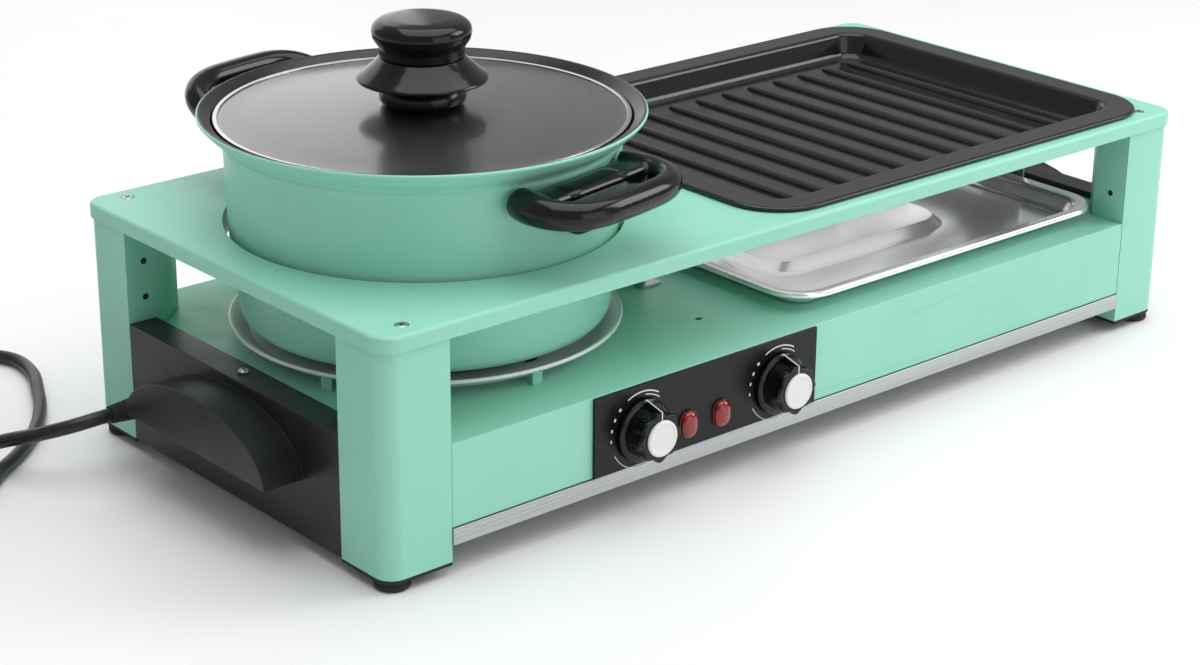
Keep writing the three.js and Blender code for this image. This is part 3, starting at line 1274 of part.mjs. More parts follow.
function printCoilGap(points) {
  let least = Infinity;
  for (let i = 0; i < points.length; i += 1) {
    for (let j = i + COIL_STEPS_PER_TURN / 2; j < points.length; j += 1) {
      least = Math.min(least, points[i].distanceTo(points[j]) - CORD_DIAMETER);
    }
  }
  console.log(`least gap between the coil's turns: ${least.toFixed(2)} mm`);
}

function buildCord() {
  const { point, heading } = coilStart();
  const route = CORD_ROUTE.map(([x, y, z]) => new THREE.Vector3(x, y, z));
  for (const back of COIL_LEADS) {
    route.push(point.clone().addScaledVector(heading, -back));
  }
  const run = new THREE.CatmullRomCurve3(route, false, 'centripetal');
  console.log(`length of the loose stretch: ${run.getLength().toFixed(0)} mm`);
  add(body, 'mains_cord', tube(run, CORD_RADIUS, CORD_SIDES, CORD_STEPS), paints.cord);

  const turns = coilPoints();
  printCoilGap(turns);
  const coil = new THREE.CatmullRomCurve3(turns, false, 'centripetal');
  console.log(`length of the coil: ${coil.getLength().toFixed(0)} mm`);
  add(body, 'cord_coil', tube(coil, CORD_RADIUS, COIL_SIDES, turns.length - 1), paints.cord);
  buildPlug(turns[turns.length - 1], heading);
}

function buildPlug(end, heading) {
  const thickness = (end.z - GAP) * 2;
  const bodyLow = GAP + PLUG_NECK_LENGTH;
  const bodyTop = bodyLow + PLUG_LENGTH;
  const neck = PLUG_NECK_RADIUS * 2;
  const ring = (width, depth, z) => rectangleRing(width, depth, PLUG_CORNER_RADIUS, 0, z);
  const shell = lofted([
    ring(CORD_DIAMETER + PLUG_EDGE * 2, CORD_DIAMETER + PLUG_EDGE * 2, GAP),
    ring(neck, neck, bodyLow),
    ring(PLUG_WIDTH, thickness - PLUG_EDGE, bodyLow + PLUG_CORNER_RADIUS),
    ring(PLUG_WIDTH, thickness, bodyTop - PLUG_EDGE),
    ring(PLUG_WIDTH - PLUG_EDGE, thickness - PLUG_EDGE, bodyTop),
  ]);
  const pins = [-PLUG_PIN_SPACING / 2, PLUG_PIN_SPACING / 2].map((x) => (
    rod(PLUG_PIN_RADIUS, bodyTop - OVERRUN, bodyTop + PLUG_PIN_LENGTH).translate([x, 0, 0])
  ));
  const turn = THREE.MathUtils.radToDeg(Math.atan2(heading.x, -heading.y));
  const plug = join(shell, ...pins).rotate([90, 0, turn]).translate([end.x, end.y, end.z]);
  add(body, 'plug', plug, paints.rubber);
}

buildLegs();
buildTopPlate();
buildChassis();
buildEndPanels();
buildControls();
buildHob();
buildPot();
buildPotHandles();
buildLid();
buildGrillPan();
buildGrillHeater();
buildTray();
buildTerminals();
buildRelief();
buildCord();

export default body;
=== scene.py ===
import math

import bmesh
import bpy
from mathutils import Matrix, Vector


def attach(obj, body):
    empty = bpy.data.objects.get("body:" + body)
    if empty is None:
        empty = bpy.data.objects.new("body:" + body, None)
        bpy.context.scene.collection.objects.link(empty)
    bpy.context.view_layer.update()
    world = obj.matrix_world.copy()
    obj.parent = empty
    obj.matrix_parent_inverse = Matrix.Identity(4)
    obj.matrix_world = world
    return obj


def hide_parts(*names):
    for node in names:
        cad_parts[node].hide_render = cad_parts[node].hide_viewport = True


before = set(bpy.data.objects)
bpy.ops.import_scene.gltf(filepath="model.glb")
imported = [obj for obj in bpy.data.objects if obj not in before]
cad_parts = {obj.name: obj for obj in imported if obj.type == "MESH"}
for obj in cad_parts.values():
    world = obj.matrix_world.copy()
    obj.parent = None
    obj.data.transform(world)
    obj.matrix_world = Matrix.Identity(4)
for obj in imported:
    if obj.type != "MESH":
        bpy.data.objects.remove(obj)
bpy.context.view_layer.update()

# Places are written in millimetres from the body's front left corner, as in the part's source
MM = 0.001
FOOT_INSET = 12.0
TINY = 1e-6
TURN = math.tau

# Camera, solved from the photograph's perspective
CAMERA_PLACE = (-795.4, -1094.2, 696.05)
CAMERA_DEGREES = (68.495, -0.509, -40.902)
CAMERA_LENS = 78.963
CAMERA_SENSOR = 36.0

# Body
BODY_LENGTH = 700.0
BODY_DEPTH = 316.0
MID_Y = BODY_DEPTH / 2
PLATE_TOP = 159.0
PLATE_UNDER = 157.5
PLATE_OVERHANG = 1.8
PLATE_CORNER = 13.8
PLATE_BEND = 2.5
PLATE_SCREW_INSET = (23.0, 13.0)
PLATE_SCREW_HOLE = 4.4
POT_HOLE_RADIUS = 126
LEDGE_SCREW_INSET = 11.0
LEG_HOLE_Z = 103
LEG_HOLE_PITCH = 24
LEG_HOLE_INSET = 13
LEG_INNER_Y = 44.95
LEG_INNER_X = 46.95

# Controls
DIAL_X = {"pot": 192.0, "grill": 308.0}
DIAL_Z = 53.0
DIAL_PRINT_DEPTH = 2.25
DIAL_PRINT_THICKNESS = 0.12
DIAL_LOBES = 8
LAMP_X = {"pot": 230.0, "grill": 258.0}
LAMP_Z = 46.0

# Pot, lid and hob
POT_X = 150.0
HANDLE_DEGREES = 10.0
HANDLE_MID = 203.5
HANDLE_ROOT = 124.0
REAR_CRANK = 24.0
HANDLE_VOXEL = 1.1
HANDLE_SCREW_OUT = 124.9
HANDLE_SCREW_Z = 186.5
GLASS_EDGE_TOP = 224.7
GLASS_THICKNESS = 3
GLASS_RISE = 6.2
GLASS_DOME_RADIUS = 120.4
GLASS_BORE_RADIUS = 2.8
GLASS_RADIUS = 128.4
GLASS_STEPS = 12

# Grill side: lengths, depths and corner radii in plan
PAN_X = 499.0
PAN_PLAN = (382, 304, 40)
PAN_OPENING_INSET = 16.5
RIB_COUNT = 12
RIB_PITCH = 26.5
RIB_ENDS = (47.0, 269.0)
RIB_HALF_WIDTH = 3.7
RIB_ROOT_Z = 142.6
RIB_SIDE_Z = 143.4
RIB_LOW_RISE = 0.8
RIB_RISE = 3.3
RIB_ROUNDNESS = 0.8
RIB_ARC_STEPS = 8
TRAY_X = 495.0
TRAY_PLAN = (310, 288, 30)
TRAY_STEP_PLAN = (180, 190, 30)
TRAY_STEP_SHIFT = (-24, 10)
HEATER_Z = 122
HEATER_RADIUS = 4.0
HEATER_BEND = 22.0
HEATER_INNER = 28.0
HEATER_OUTER = 84.0
HEATER_END_X = 288
HEATER_NEAR_X = 350
HEATER_LOOP_X = 420
HEATER_FAR_X = 640

# Cord: the same route and coil as the part's source
GAP = 0.3
CORD_DIAMETER = 9.0
CORD_FLOOR_Z = CORD_DIAMETER / 2 + GAP / 2
CORD_EXIT_Y = 250.0
CORD_EXIT_Z = 40.0
RELIEF_LENGTH = 30.0
CORD_ON_FLOOR = [
    (-106, 370), (-110, 405), (-100, 440), (-75, 468), (-40, 481), (-6, 474), (11, 450),
    (9, 421), (-4, 390), (-20, 359), (-41, 330), (-64, 307), (-88, 289),
]
CORD_ROUTE = [
    (-RELIEF_LENGTH - GAP, CORD_EXIT_Y, CORD_EXIT_Z), (-38, CORD_EXIT_Y, CORD_EXIT_Z),
    (-54, 254.5, 37.6), (-69, 270, 31), (-78, 293, 22), (-87, 317, 12), (-97, 342, 5.6),
    *((x, y, CORD_FLOOR_Z) for x, y in CORD_ON_FLOOR),
]
COIL_CENTRE = (-169.6, 303.1)
COIL_INNER_RADIUS = 46.0
COIL_SPREAD = 11.2
COIL_LAYER = 9.9
COIL_TURNS = 3.0
COIL_CLIMB_TURNS = 0.5
COIL_STEPS_PER_TURN = 24
COIL_START = math.radians(-55)
COIL_TAIL = 38.0
PIN_SPACING = 19

# Sides of round pieces, more where the round is larger or nearer to the eye
WIDE_ROUND = 180
RING_ROUND = 160
PLATE_ROUND = 128
KNOB_ROUND = 96
CAP_ROUND = 72
FOOT_ROUND = 48
SCREW_ROUND = 40
SMALL_ROUND = 32
TINY_ROUND = 24

# Floor and light
FLOOR_HALF = 6.0
FLOOR_Z = -0.0002
WORLD_STRENGTH = 0.37
# Name, place, target, size and power, in metres and watts
LIGHTS = (
    ("top_light", (0.45, 0.0, 2.3), (0.35, 0.1, 0), 2.6, 43),
    ("key_light", (1.8, -0.8, 1.2), (0.3, 0.1, 0.1), 1.0, 14.5),
    ("back_light", (0.7, 2.6, 0.75), (0.14, 0.15, 0.22), 2.2, 14),
    ("front_fill", (0.5, -2.2, 0.5), (0.4, 0.1, 0.08), 1.8, 10),
    ("under_light", (0.43, 0.12, 0.134), (0.43, 0.12, 0), 0.23, 0.11),
    ("tray_light", (0.62, 0.19, 0.13), (0.6, 0.16, 0), 0.1, 0.03),
)


def metres(point):
    """A place in millimetres from the body's corner, as metres in the row frame."""
    x, y, z = point
    return ((x - FOOT_INSET) * MM, (y - FOOT_INSET) * MM, z * MM)


def new_object(name, data):
    """An object in the scene for a mesh, a curve, a lamp or the camera."""
    obj = bpy.data.objects.new(name, data)
    bpy.context.scene.collection.objects.link(obj)
    return obj


def make_camera():
    data = bpy.data.cameras.new("camera")
    data.lens = CAMERA_LENS
    data.sensor_width = CAMERA_SENSOR
    data.clip_end = 20
    camera = new_object("camera", data)
    camera.location = metres(CAMERA_PLACE)
    camera.rotation_euler = [math.radians(a) for a in CAMERA_DEGREES]
    bpy.context.scene.camera = camera


# Materials
CLOUD_SCALE = 9
WEAR_SCALE = 35
GRAIN_STRENGTH = 0.35
STREAK_STRENGTH = 0.25
STREAK_ROUGHNESS = (0.7, 1.3)
COAT_ROUGHNESS = 0.08
NOISE_RANGE = (0.3, 0.7)


def fill(node, values):
    """Gives a node the values of its inputs."""
    for name, value in values.items():
        node.inputs[name].default_value = value


def new_material(name, colour, roughness, metallic=0.0):
    """A material with its node tree and its main shader."""
    material = bpy.data.materials.new(name)
    material.use_nodes = True
    tree = material.node_tree
    shader = tree.nodes["Principled BSDF"]
    fill(shader, {"Base Color": (*colour, 1), "Roughness": roughness, "Metallic": metallic})
    return material, tree, shader


def noise(tree, scale, detail=3.0, stretch=(1, 1, 1)):
    """Noise in the object's own coordinates, finer along an axis that is stretched more."""
    coordinates = tree.nodes.new("ShaderNodeTexCoord")
    mapping = tree.nodes.new("ShaderNodeMapping")
    fill(mapping, {"Scale": stretch})
    texture = tree.nodes.new("ShaderNodeTexNoise")
    fill(texture, {"Scale": scale, "Detail": detail})
    tree.links.new(coordinates.outputs["Object"], mapping.inputs["Vector"])
    tree.links.new(mapping.outputs["Vector"], texture.inputs["Vector"])
    return texture.outputs["Fac"]


def spread(tree, value, low, high):
    """A noise value, which stays within NOISE_RANGE most of the time, drawn out from low to high."""
    node = tree.nodes.new("ShaderNodeMapRange")
    least, most = NOISE_RANGE
    fill(node, {"From Min": least, "From Max": most, "To Min": low, "To Max": high})
    tree.links.new(value, node.inputs["Value"])
    return node.outputs["Result"]


def tint(tree, shader, value, dark, light):
    """Base colour between two tones."""
    mix = tree.nodes.new("ShaderNodeMix")
    mix.data_type = "RGBA"
    fill(mix, {"A": (*dark, 1), "B": (*light, 1)})
    tree.links.new(spread(tree, value, 0, 1), mix.inputs["Factor"])
    tree.links.new(mix.outputs["Result"], shader.inputs["Base Color"])


def bump(tree, shader, value, strength, distance):
    node = tree.nodes.new("ShaderNodeBump")
    fill(node, {"Strength": strength, "Distance": distance})
    tree.links.new(value, node.inputs["Height"])
    tree.links.new(node.outputs["Normal"], shader.inputs["Normal"])


def rough(tree, shader, value, low, high):
    tree.links.new(spread(tree, value, low, high), shader.inputs["Roughness"])


def toned(colour, share):
    return tuple(c * share for c in colour)


def coated(
    name, colour, roughness, grain_scale, grain_depth,
    coat=0.0, spot=0.06, shine=0.5, worn=0.16,
):
    """Paint or moulded plastic: slight cloudiness, a fine grain, and patches rubbed smoother."""
    material, tree, shader = new_material(name, colour, roughness)
    tint(tree, shader, noise(tree, CLOUD_SCALE), toned(colour, 1 - spot), toned(colour, 1 + spot))
    rough(tree, shader, noise(tree, WEAR_SCALE, 5), roughness * (1 - worn), roughness * (1 + worn))
    bump(tree, shader, noise(tree, grain_scale, 2), GRAIN_STRENGTH, grain_depth)
    fill(shader, {"Coat Weight": coat, "Coat Roughness": COAT_ROUGHNESS, "Specular IOR Level": shine})
    return material


def brushed(name, colour, roughness, stretch, scale=60.0, streak=0.12, depth=0.00004, metallic=1.0):
    """Bare metal with fine streaks across the stretched axes."""
    material, tree, shader = new_material(name, colour, roughness, metallic)
    streaks = noise(tree, scale, 6, stretch)
    tint(tree, shader, streaks, toned(colour, 1 - streak), toned(colour, 1 + streak / 2))
    rough(tree, shader, streaks, *(roughness * share for share in STREAK_ROUGHNESS))
    bump(tree, shader, streaks, STREAK_STRENGTH, depth)
    return material


def vector_step(tree, operation, value, other=(0, 0, 0)):
    node = tree.nodes.new("ShaderNodeVectorMath")
    node.operation = operation
    fill(node, {1: other})
    tree.links.new(value, node.inputs[0])
    return node


def ring_brushed(name, colour, roughness, centre):
    """Bare metal turned about an upright axis: the streaks run round it."""
    material, tree, shader = new_material(name, colour, roughness, metallic=0.35)
    coordinates = tree.nodes.new("ShaderNodeTexCoord")
    away = vector_step(tree, "SUBTRACT", coordinates.outputs["Object"], metres(centre))
    flat = vector_step(tree, "MULTIPLY", away.outputs["Vector"], (1, 1, 0))
    length = vector_step(tree, "LENGTH", flat.outputs["Vector"])
    texture = tree.nodes.new("ShaderNodeTexNoise")
    texture.noise_dimensions = "1D"
    fill(texture, {"Scale": 1400, "Detail": 4})
    tree.links.new(length.outputs["Value"], texture.inputs["W"])
    streaks = texture.outputs["Fac"]
    tint(tree, shader, streaks, toned(colour, 0.88), colour)
    rough(tree, shader, streaks, *(roughness * share for share in STREAK_ROUGHNESS))
    bump(tree, shader, streaks, strength=0.2, distance=0.00004)
    return material


def clear_glass():
    material, tree, shader = new_material("lid_glass_clear", (0.62, 0.68, 0.66), 0.02)
    fill(shader, {"Transmission Weight": 1.0, "IOR": 1.75, "Coat Weight": 0.5, "Coat Roughness": 0.42})
    rough(tree, shader, noise(tree, 60, 4), 0.15, 0.2)
    return material


def lamp_red():
    material, tree, shader = new_material("lamp_red", (0.45, 0.008, 0.012), 0.12)
    tint(tree, shader, noise(tree, 260, 2, (1, 1, 3)), (0.10, 0.001, 0.002), (0.36, 0.006, 0.008))
    glow = (0.6, 0.01, 0.01, 1)
    fill(shader, {"Coat Weight": 0.6, "Emission Color": glow, "Emission Strength": 0.03})
    bump(tree, shader, noise(tree, 500, 1), 0.3, 0.0002)
    return material


M = {}

# Key, name, colour, roughness, grain scale, grain depth, and what else differs from the usual
COATED = (
    ("mint", "mint_powder_coat", (0.3, 0.68, 0.53), 0.42, 900, 0.00006, {"spot": 0.035}),
    ("pot_mint", "pot_mint_enamel", (0.305, 0.685, 0.54), 0.34, 900, 0.00001,
     {"spot": 0.02, "shine": 0.4, "worn": 0.03}),
    ("pot_black", "pot_black_coating", (0.012, 0.012, 0.013), 0.28, 700, 0.00005,
     {"spot": 0.2, "shine": 0.4}),
    ("pan_black", "pan_black_enamel", (0.007, 0.007, 0.007), 0.19, 420, 0.00006,
     {"coat": 0.2, "spot": 0.25, "shine": 0.4}),
    # The ribs' enamel is twice as light as the pan's: a painted highlight along the rib tops
    ("rib_black", "worn_rib_enamel", (0.014, 0.014, 0.014), 0.2, 420, 0.00006,
     {"coat": 0.2, "spot": 0.25}),
    ("grained", "grained_black_plastic", (0.014, 0.013, 0.013), 0.36, 1500, 0.00012,
     {"spot": 0.15, "shine": 0.4}),
    ("charcoal", "charcoal_plate", (0.005, 0.0045, 0.0045), 0.3, 1200, 0.00004,
     {"spot": 0.1, "shine": 0.3}),
    ("gloss", "gloss_black_plastic", (0.004, 0.004, 0.004), 0.15, 300, 0.00003,
     {"coat": 0.05, "spot": 0.2, "shine": 0.35}),
    ("rubber", "black_rubber", (0.014, 0.014, 0.014), 0.7, 1100, 0.0001, {"spot": 0.2}),
    ("cord", "cord_sheath", (0.012, 0.012, 0.012), 0.38, 900, 0.00006, {"spot": 0.2}),
    ("switch", "switch_body", (0.11, 0.09, 0.07), 0.55, 800, 0.00008, {"spot": 0.12}),
    ("iron", "hot_plate_iron", (0.035, 0.034, 0.033), 0.62, 600, 0.0002, {"spot": 0.3}),
    ("white_cap", "white_dial_cap", (0.78, 0.78, 0.76), 0.3, 900, 0.00003, {"spot": 0.03}),
    ("print", "white_print", (0.74, 0.75, 0.74), 0.5, 1500, 0.00002, {}),
    # Painted shade: flat dark marks stand in for the shade inside holes, a notch and screw drives
    ("dark", "dark_hole", (0.01, 0.012, 0.011), 0.8, 600, 0.0001, {}),
)
# Key, name, colour, roughness, stretch of the streaks, and what else differs from the usual
BRUSHED = (
    ("steel", "steel_screws", (0.62, 0.62, 0.63), 0.28, (1, 1, 1), {"scale": 400}),
    ("band", "polished_band", (0.66, 0.67, 0.67), 0.16, (1, 1, 30), {"scale": 120, "streak": 0.06}),
    ("sheet_steel", "plain_sheet_steel", (0.55, 0.55, 0.55), 0.36, (0.4, 12, 12), {}),
    ("tray", "stainless_tray", (0.95, 0.95, 0.95), 0.2, (1, 1, 1),
     {"scale": 7, "streak": 0.03, "depth": 0.00001, "metallic": 0.75}),
    ("trim", "brushed_trim", (0.52, 0.53, 0.54), 0.34, (0.05, 20, 20), {"streak": 0.16}),
    ("heater", "heater_tube", (0.16, 0.15, 0.14), 0.45, (1, 1, 1), {"scale": 300, "streak": 0.3}),
    ("brass", "plug_pins", (0.75, 0.6, 0.32), 0.25, (1, 1, 1), {"scale": 300}),
)


def make_materials():
    for key, *row, other in COATED:
        M[key] = coated(*row, **other)
    for key, *row, other in BRUSHED:
        M[key] = brushed(*row, **other)
    M["ring"] = ring_brushed("turned_hob_ring", (0.92, 0.88, 0.88), 0.4, (POT_X, MID_Y, 0))
    M["glass"] = clear_glass()
    M["lamp"] = lamp_red()


# Shading: smooth across gentle edges, and flat faces keep their own direction

SHARP_DEGREES = 48.0
WELD_METRES = 1e-6


def angle_shading():
    """A node group that shades an object smooth except at edges sharper than SHARP_DEGREES."""
    group = bpy.data.node_groups.new("angle_shading", "GeometryNodeTree")
    group.interface.new_socket("Geometry", in_out="INPUT", socket_type="NodeSocketGeometry")
    group.interface.new_socket("Geometry", in_out="OUTPUT", socket_type="NodeSocketGeometry")
    start = group.nodes.new("NodeGroupInput")
    end = group.nodes.new("NodeGroupOutput")
    faces = group.nodes.new("GeometryNodeSetShadeSmooth")
    edges = group.nodes.new("GeometryNodeSetShadeSmooth")
    edges.domain = "EDGE"
    edges.inputs["Shade Smooth"].default_value = False
    angle = group.nodes.new("GeometryNodeInputMeshEdgeAngle")
    compare = group.nodes.new("FunctionNodeCompare")
    compare.data_type = "FLOAT"
    compare.operation = "GREATER_THAN"
    compare.inputs["B"].default_value = math.radians(SHARP_DEGREES)
    group.links.new(start.outputs[0], faces.inputs["Geometry"])
    group.links.new(faces.outputs[0], edges.inputs["Geometry"])
    group.links.new(angle.outputs["Unsigned Angle"], compare.inputs["A"])
    group.links.new(compare.outputs["Result"], edges.inputs["Selection"])
    group.links.new(edges.outputs[0], end.inputs[0])
    return group


SHADING = angle_shading()


def shade(obj, bevel=0.0, weighted=True):
    """Welds, softens edges by a bevel in millimetres, and shades by angle."""
    weld = obj.modifiers.new("weld", "WELD")
    weld.merge_threshold = WELD_METRES * 2
    if bevel:
        soft = obj.modifiers.new("soft_edges", "BEVEL")
        soft.width = bevel * MM
        soft.segments = 3
        soft.limit_method = "ANGLE"
        soft.angle_limit = math.radians(SHARP_DEGREES)
    smooth = obj.modifiers.new("shading", "NODES")
    smooth.node_group = SHADING
    if weighted:
        normals = obj.modifiers.new("flat_faces", "WEIGHTED_NORMAL")
        normals.weight = 100
        normals.keep_sharp = True


def dress(node, material, bevel=0.0):
    """A CAD node keeps its shape and gets its material and soft edges."""
    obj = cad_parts[node]
    obj.data.materials.clear()
    obj.data.materials.append(M[material])
    shade(obj, bevel)


def finish_piece(obj, materials, body, nodes=()):
    for material in materials:
        obj.data.materials.append(M[material])
    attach(obj, body)
    if nodes:
        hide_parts(*nodes)
    return obj


def piece(name, skin, materials, body, nodes=(), bevel=0.0, weighted=True):
    """One mesh from a skin: its points, its faces and which material each face has."""
    points, faces, paints = skin
    mesh = bpy.data.meshes.new(name)
    mesh.from_pydata([metres(p) for p in points], [], faces)
    for polygon, paint in zip(mesh.polygons, paints):
        polygon.material_index = paint
    work = bmesh.new()
    work.from_mesh(mesh)
    bmesh.ops.remove_doubles(work, verts=work.verts, dist=WELD_METRES)
    bmesh.ops.recalc_face_normals(work, faces=work.faces)
    work.to_mesh(mesh)
    work.free()
    obj = new_object(name, mesh)
    shade(obj, bevel, weighted)
    return finish_piece(obj, materials, body, nodes)


# Skins: lists of points, faces and material numbers

def joined(*skins):
    points, faces, paints = [], [], []
    for more_points, more_faces, more_paints in skins:
        start = len(points)
        points += more_points
        faces += [tuple(i + start for i in face) for face in more_faces]
        paints += more_paints
    return points, faces, paints


def painted(skin, paint):
    points, faces, paints = skin
    return points, faces, [paint] * len(paints)


def placed(skin, placing):
    points, faces, paints = skin
    return [placing(p) for p in points], faces, paints


def upright(x, y, degrees=0.0):
    """Places a skin drawn about the upright axis at a point of the plan, turned by an angle."""
    c, s = math.cos(math.radians(degrees)), math.sin(math.radians(degrees))
    return lambda p: (x + p[0] * c - p[1] * s, y + p[0] * s + p[1] * c, p[2])


def facing_front(x, z):
    """Places a skin drawn along +Z so that it points out of the front."""
    return lambda p: (x + p[0], -p[2], z + p[1])


def facing_left(y, z):
    """Places a skin drawn along +Z so that it points out of the left end."""
    return lambda p: (-p[2], y + p[0], z + p[1])


# Shares of the sides by a corner and of a moulding's narrower side, and the least rounding
SOFT_SHARE = 0.48
SOFT_CORNER = 0.42
SOFT_LEAST = 0.01


def softened(profile, radius, steps=4, closed=False):
    """A profile whose corners are rounded, by no more than a share of the sides that meet there."""
    count = len(profile)
    result = []
    for i, point in enumerate(profile):
        if not closed and i in (0, count - 1):
            result.append(point)
            continue
        here = Vector(point)
        before = Vector(profile[i - 1])
        after = Vector(profile[(i + 1) % count])
        back = (before - here).length
        forward = (after - here).length
        reach = min(radius, back * SOFT_SHARE, forward * SOFT_SHARE)
        if reach < SOFT_LEAST:
            result.append(point)
            continue
        start = here + (before - here).normalized() * reach
        end = here + (after - here).normalized() * reach
        for k in range(steps + 1):
            t = k / steps
            result.append(tuple(start.lerp(here, t).lerp(here.lerp(end, t), t)))
    return result


def turned(profile, steps=120, paint=0, closed=False):
    """A skin turned about the upright axis from (radius, height) pairs."""
    rings, points, faces = [], [], []
    for radius, height in profile:
        if radius < TINY:
            rings.append([len(points)])
            points.append((0.0, 0.0, height))
            continue
        rings.append(list(range(len(points), len(points) + steps)))
        for i in range(steps):
            angle = i * TURN / steps
            points.append((radius * math.cos(angle), radius * math.sin(angle), height))
    pairs = list(zip(rings, rings[1:]))
    if closed:
        pairs.append((rings[-1], rings[0]))
    for low, high in pairs:
        for i in range(steps):
            j = (i + 1) % steps
            if len(low) == 1 and len(high) == 1:
                continue
            if len(low) == 1:
                faces.append((low[0], high[j], high[i]))
            elif len(high) == 1:
                faces.append((low[i], low[j], high[0]))
            else:
                faces.append((low[i], low[j], high[j], high[i]))
    return points, faces, [paint] * len(faces)


def lofted(rings, caps=True, closed=False, paint=0):
    """A skin through rings with the same number of points."""
    count = len(rings[0])
    points = [point for ring in rings for point in ring]
    faces = []
    spans = len(rings) if closed else len(rings) - 1
    for k in range(spans):
        low = k * count
        high = ((k + 1) % len(rings)) * count
        for i in range(count):
            j = (i + 1) % count
            faces.append((low + i, low + j, high + j, high + i))
    if caps and not closed:
        faces.append(tuple(reversed(range(count))))
        faces.append(tuple(range((len(rings) - 1) * count, len(rings) * count)))
    return points, faces, [paint] * len(faces)


def corner_ring(width, depth, radius, z, steps=8):
    """A rounded rectangle about the upright axis."""
    r = min(radius, width / 2 - TINY, depth / 2 - TINY)
    ring = []
    for sx, sy, quarter in ((1, 1, 0), (-1, 1, 1), (-1, -1, 2), (1, -1, 3)):
        for i in range(steps + 1):
            angle = (quarter + i / steps) * TURN / 4
            ring.append((
                sx * (width / 2 - r) + r * math.cos(angle),
                sy * (depth / 2 - r) + r * math.sin(angle),
                z,
            ))
    return ring


def tray_ring(width, depth, radius, inset, z, steps=8):
    return corner_ring(width - inset * 2, depth - inset * 2, max(radius - inset, 3), z, steps)


def stacked(sections, **how):
    """A skin through rounded rectangles: their width, depth, corner radius and height."""
    return lofted([corner_ring(*section) for section in sections], **how)


def block(x0, x1, y0, y1, z0, z1, paint=0):
    ring = ((x0, y0), (x1, y0), (x1, y1), (x0, y1))
    return lofted([[(x, y, z) for x, y in ring] for z in (z0, z1)], paint=paint)


def route_curve(route, per_span=8):
    """Points on a smooth curve through a route, evenly paced between its corners."""
    points = [Vector(p) for p in route]
    first = points[0] * 2 - points[1]
    last = points[-1] * 2 - points[-2]
    points = [first, *points, last]
    result = []
    for i in range(1, len(points) - 2):
        p0, p1, p2, p3 = points[i - 1:i + 3]
        t01 = (p1 - p0).length ** 0.5
        t12 = (p2 - p1).length ** 0.5
        t23 = (p3 - p2).length ** 0.5
        m1 = (p2 - p1) + t12 * ((p1 - p0) / t01 - (p2 - p0) / (t01 + t12))
        m2 = (p2 - p1) + t12 * ((p3 - p2) / t23 - (p3 - p1) / (t12 + t23))
        for k in range(per_span):
            t = k / per_span
            a = 2 * t ** 3 - 3 * t ** 2 + 1
            b = t ** 3 - 2 * t ** 2 + t
            c = -2 * t ** 3 + 3 * t ** 2
            d = t ** 3 - t ** 2
            result.append(tuple(p1 * a + m1 * b + p2 * c + m2 * d))
    result.append(tuple(points[-2]))
    return result


def tube(path, radius, sides=16, paint=0):
    """A round tube along a path, its section carried along without twist."""
    points = [Vector(p) for p in path]
    side = None
    rings = []
    for i, here in enumerate(points):
        ahead = points[min(i + 1, len(points) - 1)] - points[max(i - 1, 0)]
        ahead.normalize()
        if side is None:
            side = ahead.orthogonal().normalized()
        side = (side - ahead * side.dot(ahead)).normalized()
        other = ahead.cross(side)
        rings.append([
            tuple(here + (side * math.cos(a) + other * math.sin(a)) * radius)
            for a in (k * TURN / sides for k in range(sides))
        ])
    return lofted(rings, paint=paint)


# Cord, coil and plug

def coil_start():
    radius = COIL_INNER_RADIUS + COIL_SPREAD * (COIL_TURNS / 2 - COIL_CLIMB_TURNS / 2)
    heading = Vector((math.sin(COIL_START), -math.cos(COIL_START), 0))
    start = Vector((
        COIL_CENTRE[0] + radius * math.cos(COIL_START),
        COIL_CENTRE[1] + radius * math.sin(COIL_START),
        CORD_FLOOR_Z,
    ))
    return start, heading


def smoothed(value):
    t = min(max(value, 0.0), 1.0)
    return t * t * (3 - 2 * t)


def coil_route():
    """The coil's turns: in along the floor, up one layer and out on top."""
    points = []
    for i in range(int(COIL_TURNS * COIL_STEPS_PER_TURN) + 1):
        turn = i / COIL_STEPS_PER_TURN
        middle = turn - COIL_TURNS / 2
        radius = COIL_INNER_RADIUS + COIL_SPREAD * max(0.0, abs(middle) - COIL_CLIMB_TURNS / 2)
        angle = COIL_START - turn * TURN
        points.append(Vector((
            COIL_CENTRE[0] + radius * math.cos(angle),
            COIL_CENTRE[1] + radius * math.sin(angle),
            CORD_FLOOR_Z + COIL_LAYER * smoothed(middle / COIL_CLIMB_TURNS + 0.5),
        )))
    return points


def make_cord():
    start, heading = coil_start()
    turns = coil_route()
    route = [Vector(p) for p in CORD_ROUTE]
    route += [start - heading * (CORD_DIAMETER * share) for share in (5, 3, 1)]
    route += turns
    end = turns[-1] + heading * COIL_TAIL
    route += [turns[-1] + heading * (COIL_TAIL / 2), end]
    path = route_curve(route, 4)
    cord = piece(
        "cord", tube(path, CORD_DIAMETER / 2, 20), ["cord"],
        "base", ["mains_cord", "cord_coil"], weighted=False,
    )
    plug = make_plug(end, heading)
    make_relief()


